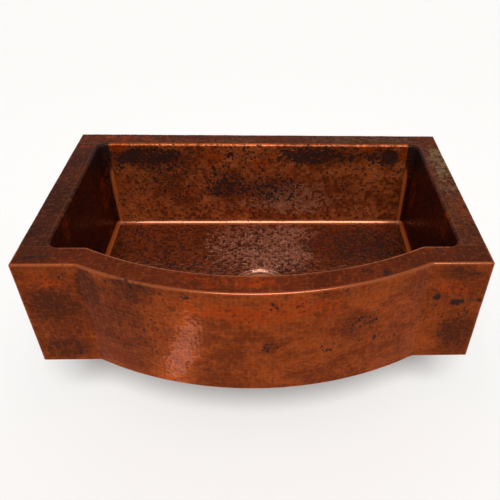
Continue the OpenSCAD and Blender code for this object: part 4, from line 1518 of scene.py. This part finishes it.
class SINK_OT_basket(DrainOperator, bpy.types.Operator):
    """Adds the basket that lifts out, with its stopper, nut, stem and knob"""

    bl_idname = "sink.basket"
    bl_label = "Basket"

    def execute(self, context):
        self.read_settings(context.scene)
        self.cup()
        self.stopper()
        self.stem()
        self.knob()
        return {"FINISHED"}

    def cup(self):
        size = self.size
        low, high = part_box("basket_cup")
        sheet = size.basket_sheet
        corners = [
            (0, low.z + sheet),
            (size.basket_base - 1.4 * sheet, low.z + sheet),
            (size.basket_top - sheet, high.z),
            (high.x, high.z),
        ]
        section = Section.through(corners, [2.2 * MM, 1.8 * MM])
        flat = size.basket_base - 4 * MM
        s = np.linspace(flat, section.length, 800)
        heights = section.at(s)[1]
        rising = np.arange(len(s)) <= heights.argmax()

        def place(u, v):
            reach = np.hypot(u, v)
            angle = np.arctan2(v, u)
            r, z = section.at(reach)
            return np.stack([r * np.cos(angle), r * np.sin(angle), z], 1)

        spacing = 1.3 * MM
        bottom = low.z + size.slot_start
        half = size.slot / 2
        turn = np.radians(np.linspace(0, 180, 9))
        cap = half * np.stack([np.cos(turn), np.sin(turn)], 1)
        slot = along(np.vstack([cap + (0, size.slot_height - half), -cap + (0, half)]), spacing)
        slot_s = np.interp(bottom + slot[:, 1], heights[rising], s[rising])
        slot_r = section.at(slot_s)[0]
        holes = []
        for i in range(size.slots):
            angle = i * 2 * math.pi / size.slots + slot[:, 0] / slot_r
            holes.append(np.stack([slot_s * np.cos(angle), slot_s * np.sin(angle)], 1))
        for count, radius in ((8, 14 * MM), (14, 22 * MM)):
            holes += [ring(size.drip, 14) + centre for centre in ring(radius, count)]
        holes.append(ring(size.stem + size.fit, 20))
        rows = [row for row in section.rows(spacing, 0.5 * MM) if row > flat]
        steps = 220
        rings = [ring(row, steps, (i % 2) / 2) for i, row in enumerate(rows)]

        def keep(u, v):
            return np.hypot(u, v) < flat - 0.3 * MM

        blank = filled_blank([rings[-1], *holes], spacing, keep, rings[:-1], 0.5 * MM)
        shell = Shell(place, blank, sheet)
        cup = (shell.points, shell.faces)
        turned_piece("basket_cup", BASKET, "drain_copper", [cup], 40)

    def stopper(self):
        size = self.size
        low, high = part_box("basket_stopper")
        stem = size.stem + size.fit
        radius, recess = high.x, size.stem_flange + size.fit
        floor = low.z + size.stem_flange_t
        outline = [
            (stem, floor), (recess, floor), (recess, low.z), (radius - 9 * MM, low.z),
            (radius - 8.2 * MM, low.z + 0.7 * MM), (radius - 7.4 * MM, low.z), (radius - 5 * MM, low.z),
            (radius - 4.2 * MM, low.z + 0.7 * MM), (radius - 3.4 * MM, low.z), (radius, low.z + 0.6 * MM),
            (radius, high.z - 1 * MM), (radius - 1 * MM, high.z), (stem, high.z),
        ]
        disc = lathe(soften(outline, 0.4 * MM, 2), circle(120))
        turned_piece("basket_stopper", BASKET, "stopper_rubber", [disc])

    def stem(self):
        size = self.size
        low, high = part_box("basket_stem")
        flange_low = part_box("basket_stopper")[0].z
        flange_high = flange_low + size.stem_flange_t
        tip = size.stem - 1 * MM
        outline = [
            (0, low.z), (tip, low.z), (size.stem, low.z + 1.6 * MM), (size.stem, flange_low),
            (size.stem_flange, flange_low), (size.stem_flange, flange_high), (size.stem, flange_high),
            (size.stem, high.z), (0, high.z),
        ]
        outline = refine(soften(outline, 0.25 * MM, 2), size.stem, 0.2 * MM)
        screw = self.thread(size.stem, flange_high, high.z, 1 * MM)
        parts = [lathe(outline, circle(48), screw)]
        turned_piece("basket_stem", BASKET, "brass", parts)
        low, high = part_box("stopper_nut")
        radius, bore = high.x, size.stem + size.fit
        outline = [
            (bore, low.z), (radius - 0.8 * MM, low.z), (radius, low.z + 0.4 * MM),
            (radius, high.z - 0.4 * MM), (radius - 0.8 * MM, high.z), (bore, high.z),
        ]
        nut = lathe(soften(outline, 0.1 * MM, 1), circle(96), self.hexagon(radius, bore + 0.5 * MM))
        turned_piece("stopper_nut", BASKET, "brass", [nut])

    def knob(self):
        """Turned with a foot, a waist and a domed grip with a groove."""
        size = self.size
        low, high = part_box("basket_knob")
        grip, height = high.x, high.z - low.z
        foot = size.stem + 1.5 * size.knob_wall
        waist = size.stem + size.knob_wall
        dome = 2 * grip
        fall = np.radians(np.linspace(30, 0, 8))
        top = np.stack([dome * np.sin(fall), height - dome * (1 - np.cos(fall))], 1)
        profile = [
            (foot, 0), (foot, 0.06 * height), (waist, 0.15 * height), (0.96 * waist, 0.26 * height),
            (1.05 * waist, 0.36 * height), (0.78 * grip, 0.5 * height), (0.97 * grip, 0.62 * height),
            (grip, 0.67 * height), (grip, 0.7 * height), (0.96 * grip, 0.73 * height),
            (grip, 0.76 * height), *top, (0, height / 2), (size.stem, height / 2), (size.stem, 0),
        ]
        outline = soften(np.array(profile) + (0, low.z), 0.8 * MM)
        turned_piece("basket_knob", BASKET, "drain_copper", [lathe(outline, circle(72))])


class SINK_OT_stage(bpy.types.Operator):
    """Adds the floor, the lamps, the surroundings and the camera"""

    bl_idname = "sink.stage"
    bl_label = "Stage"
    bl_options = {"REGISTER", "UNDO"}

    def execute(self, context):
        settings = context.scene.sink_stage
        self.floor(context, settings)
        self.lamps(context, settings)
        self.surroundings(context, settings)
        self.camera(context)
        return {"FINISHED"}

    def floor(self, context, settings):
        low = CAD_BOX[0]
        half = 9.0
        mesh = bpy.data.meshes.new("studio_floor")
        z = low.z - 0.5 * MM
        corners = [(-half, -half, z), (half, -half, z), (half, half, z), (-half, half, z)]
        mesh.from_pydata(corners, [], [(0, 1, 2, 3)])
        floor = bpy.data.objects.new("studio_floor", mesh)
        context.scene.collection.objects.link(floor)
        paint = Paint(bpy.data.materials.new("studio_floor"))
        mesh.materials.append(paint.finish(Base_Color=(*settings.floor, 1), Roughness=0.9))

    def lamp(self, context, name, kind, place, aim, energy, **settings):
        data = bpy.data.lights.new(name, kind)
        data.energy = energy
        for key, value in settings.items():
            setattr(data, key, value)
        lamp = bpy.data.objects.new(name, data)
        lamp.location = place
        lamp.rotation_mode = "QUATERNION"
        lamp.rotation_quaternion = (Vector(aim) - Vector(place)).to_track_quat("-Z", "Y")
        context.scene.collection.objects.link(lamp)
        return lamp

    def lamps(self, context, settings):
        wide = math.radians(38)
        self.lamp(context, "soft_sun", "SUN", (0.1, -1.6, 2.2), (0, 0, 0), settings.sun, angle=wide)
        self.lamp(
            context, "top_lamp", "AREA", (0.0, 0.5, 1.3), (0, 0, 0), settings.top,
            shape="RECTANGLE", size=0.6, size_y=0.25,
        )
        strip = self.lamp(
            context, "strip_lamp", "AREA", (-0.25, -0.405, -0.15), (-0.25, -0.405, 1), settings.strip,
            shape="RECTANGLE", size=0.06, size_y=0.16,
        )
        strip.visible_camera = False

    def surroundings(self, context, settings):
        """A white room: the camera and glossy metal see it bright, and it lights things softly."""
        paint = Paint(bpy.data.worlds.new("surroundings"))
        seen = paint.add("LightPath", out="Is Camera Ray")
        for rays in ("Is Glossy Ray", "Is Transmission Ray"):
            seen = seen.most(paint.add("LightPath", out=rays))
        strength = settings.world + seen * (1 - settings.world)
        room = paint.add("Background", {}, {"Color": (*settings.floor, 1), "Strength": strength})
        context.scene.world = paint.end("OutputWorld", room)

    def camera(self, context):
        """The photograph's view, fitted to the sink's corners in its frame of 500 by 500 pixels."""
        pixels, sensor = 500, 36
        focal, middle_x, middle_y = 556.84, 297.63, 252.22
        pitch, yaw, roll = 0.6742, -0.0581, 0.0330
        ahead = math.cos(pitch)
        forward = Vector((-math.sin(yaw) * ahead, math.cos(yaw) * ahead, -math.sin(pitch)))
        level = Vector((math.cos(yaw), math.sin(yaw), 0))
        upright = level.cross(forward)
        right = level * math.cos(roll) + upright * math.sin(roll)
        up = upright * math.cos(roll) - level * math.sin(roll)
        data = bpy.data.cameras.new("camera")
        data.sensor_width = sensor
        data.lens = focal * sensor / pixels
        data.shift_x = (pixels / 2 - middle_x) / pixels
        data.shift_y = (middle_y - pixels / 2) / pixels
        data.clip_start = 0.01
        camera = bpy.data.objects.new("camera", data)
        place = (0.0276, -0.9109, 0.8325)
        turn = Matrix((right, up, -forward)).transposed().to_4x4()
        camera.matrix_world = Matrix.Translation(place) @ turn
        context.scene.collection.objects.link(camera)
        context.scene.camera = camera
        context.scene.view_settings.view_transform = "Standard"


class SINK_PT_panel(bpy.types.Panel):
    """Lists the sink's pieces"""

    bl_idname = "SINK_PT_panel"
    bl_label = "Hammered Copper Sink"
    bl_space_type = "VIEW_3D"
    bl_region_type = "UI"
    bl_category = "Sink"

    def draw(self, context):
        for operator in PIECES:
            self.layout.operator(operator.bl_idname)


PIECES = [
    SINK_OT_basin, SINK_OT_rim, SINK_OT_apron, SINK_OT_drain, SINK_OT_outlet, SINK_OT_basket, SINK_OT_stage,
]
GROUPS = {
    "sink_sheet": SheetSizes,
    "sink_hammer": HammerMarks,
    "sink_patina": PatinaColours,
    "sink_drain": DrainSizes,
    "sink_stage": StageSettings,
}


def register():
    for name, group in GROUPS.items():
        bpy.utils.register_class(group)
        setattr(bpy.types.Scene, name, PointerProperty(type=group))
    for item in (*PIECES, SINK_PT_panel):
        bpy.utils.register_class(item)


def unregister():
    for item in (SINK_PT_panel, *reversed(PIECES)):
        bpy.utils.unregister_class(item)
    for name, group in reversed(GROUPS.items()):
        delattr(bpy.types.Scene, name)
        bpy.utils.unregister_class(group)


def main():
    register()
    bpy.ops.sink.basin()
    bpy.ops.sink.rim()
    bpy.ops.sink.apron()
    bpy.ops.sink.drain()
    bpy.ops.sink.outlet()
    bpy.ops.sink.basket()
    bpy.ops.sink.stage()


if __name__ == "__main__":
    main()
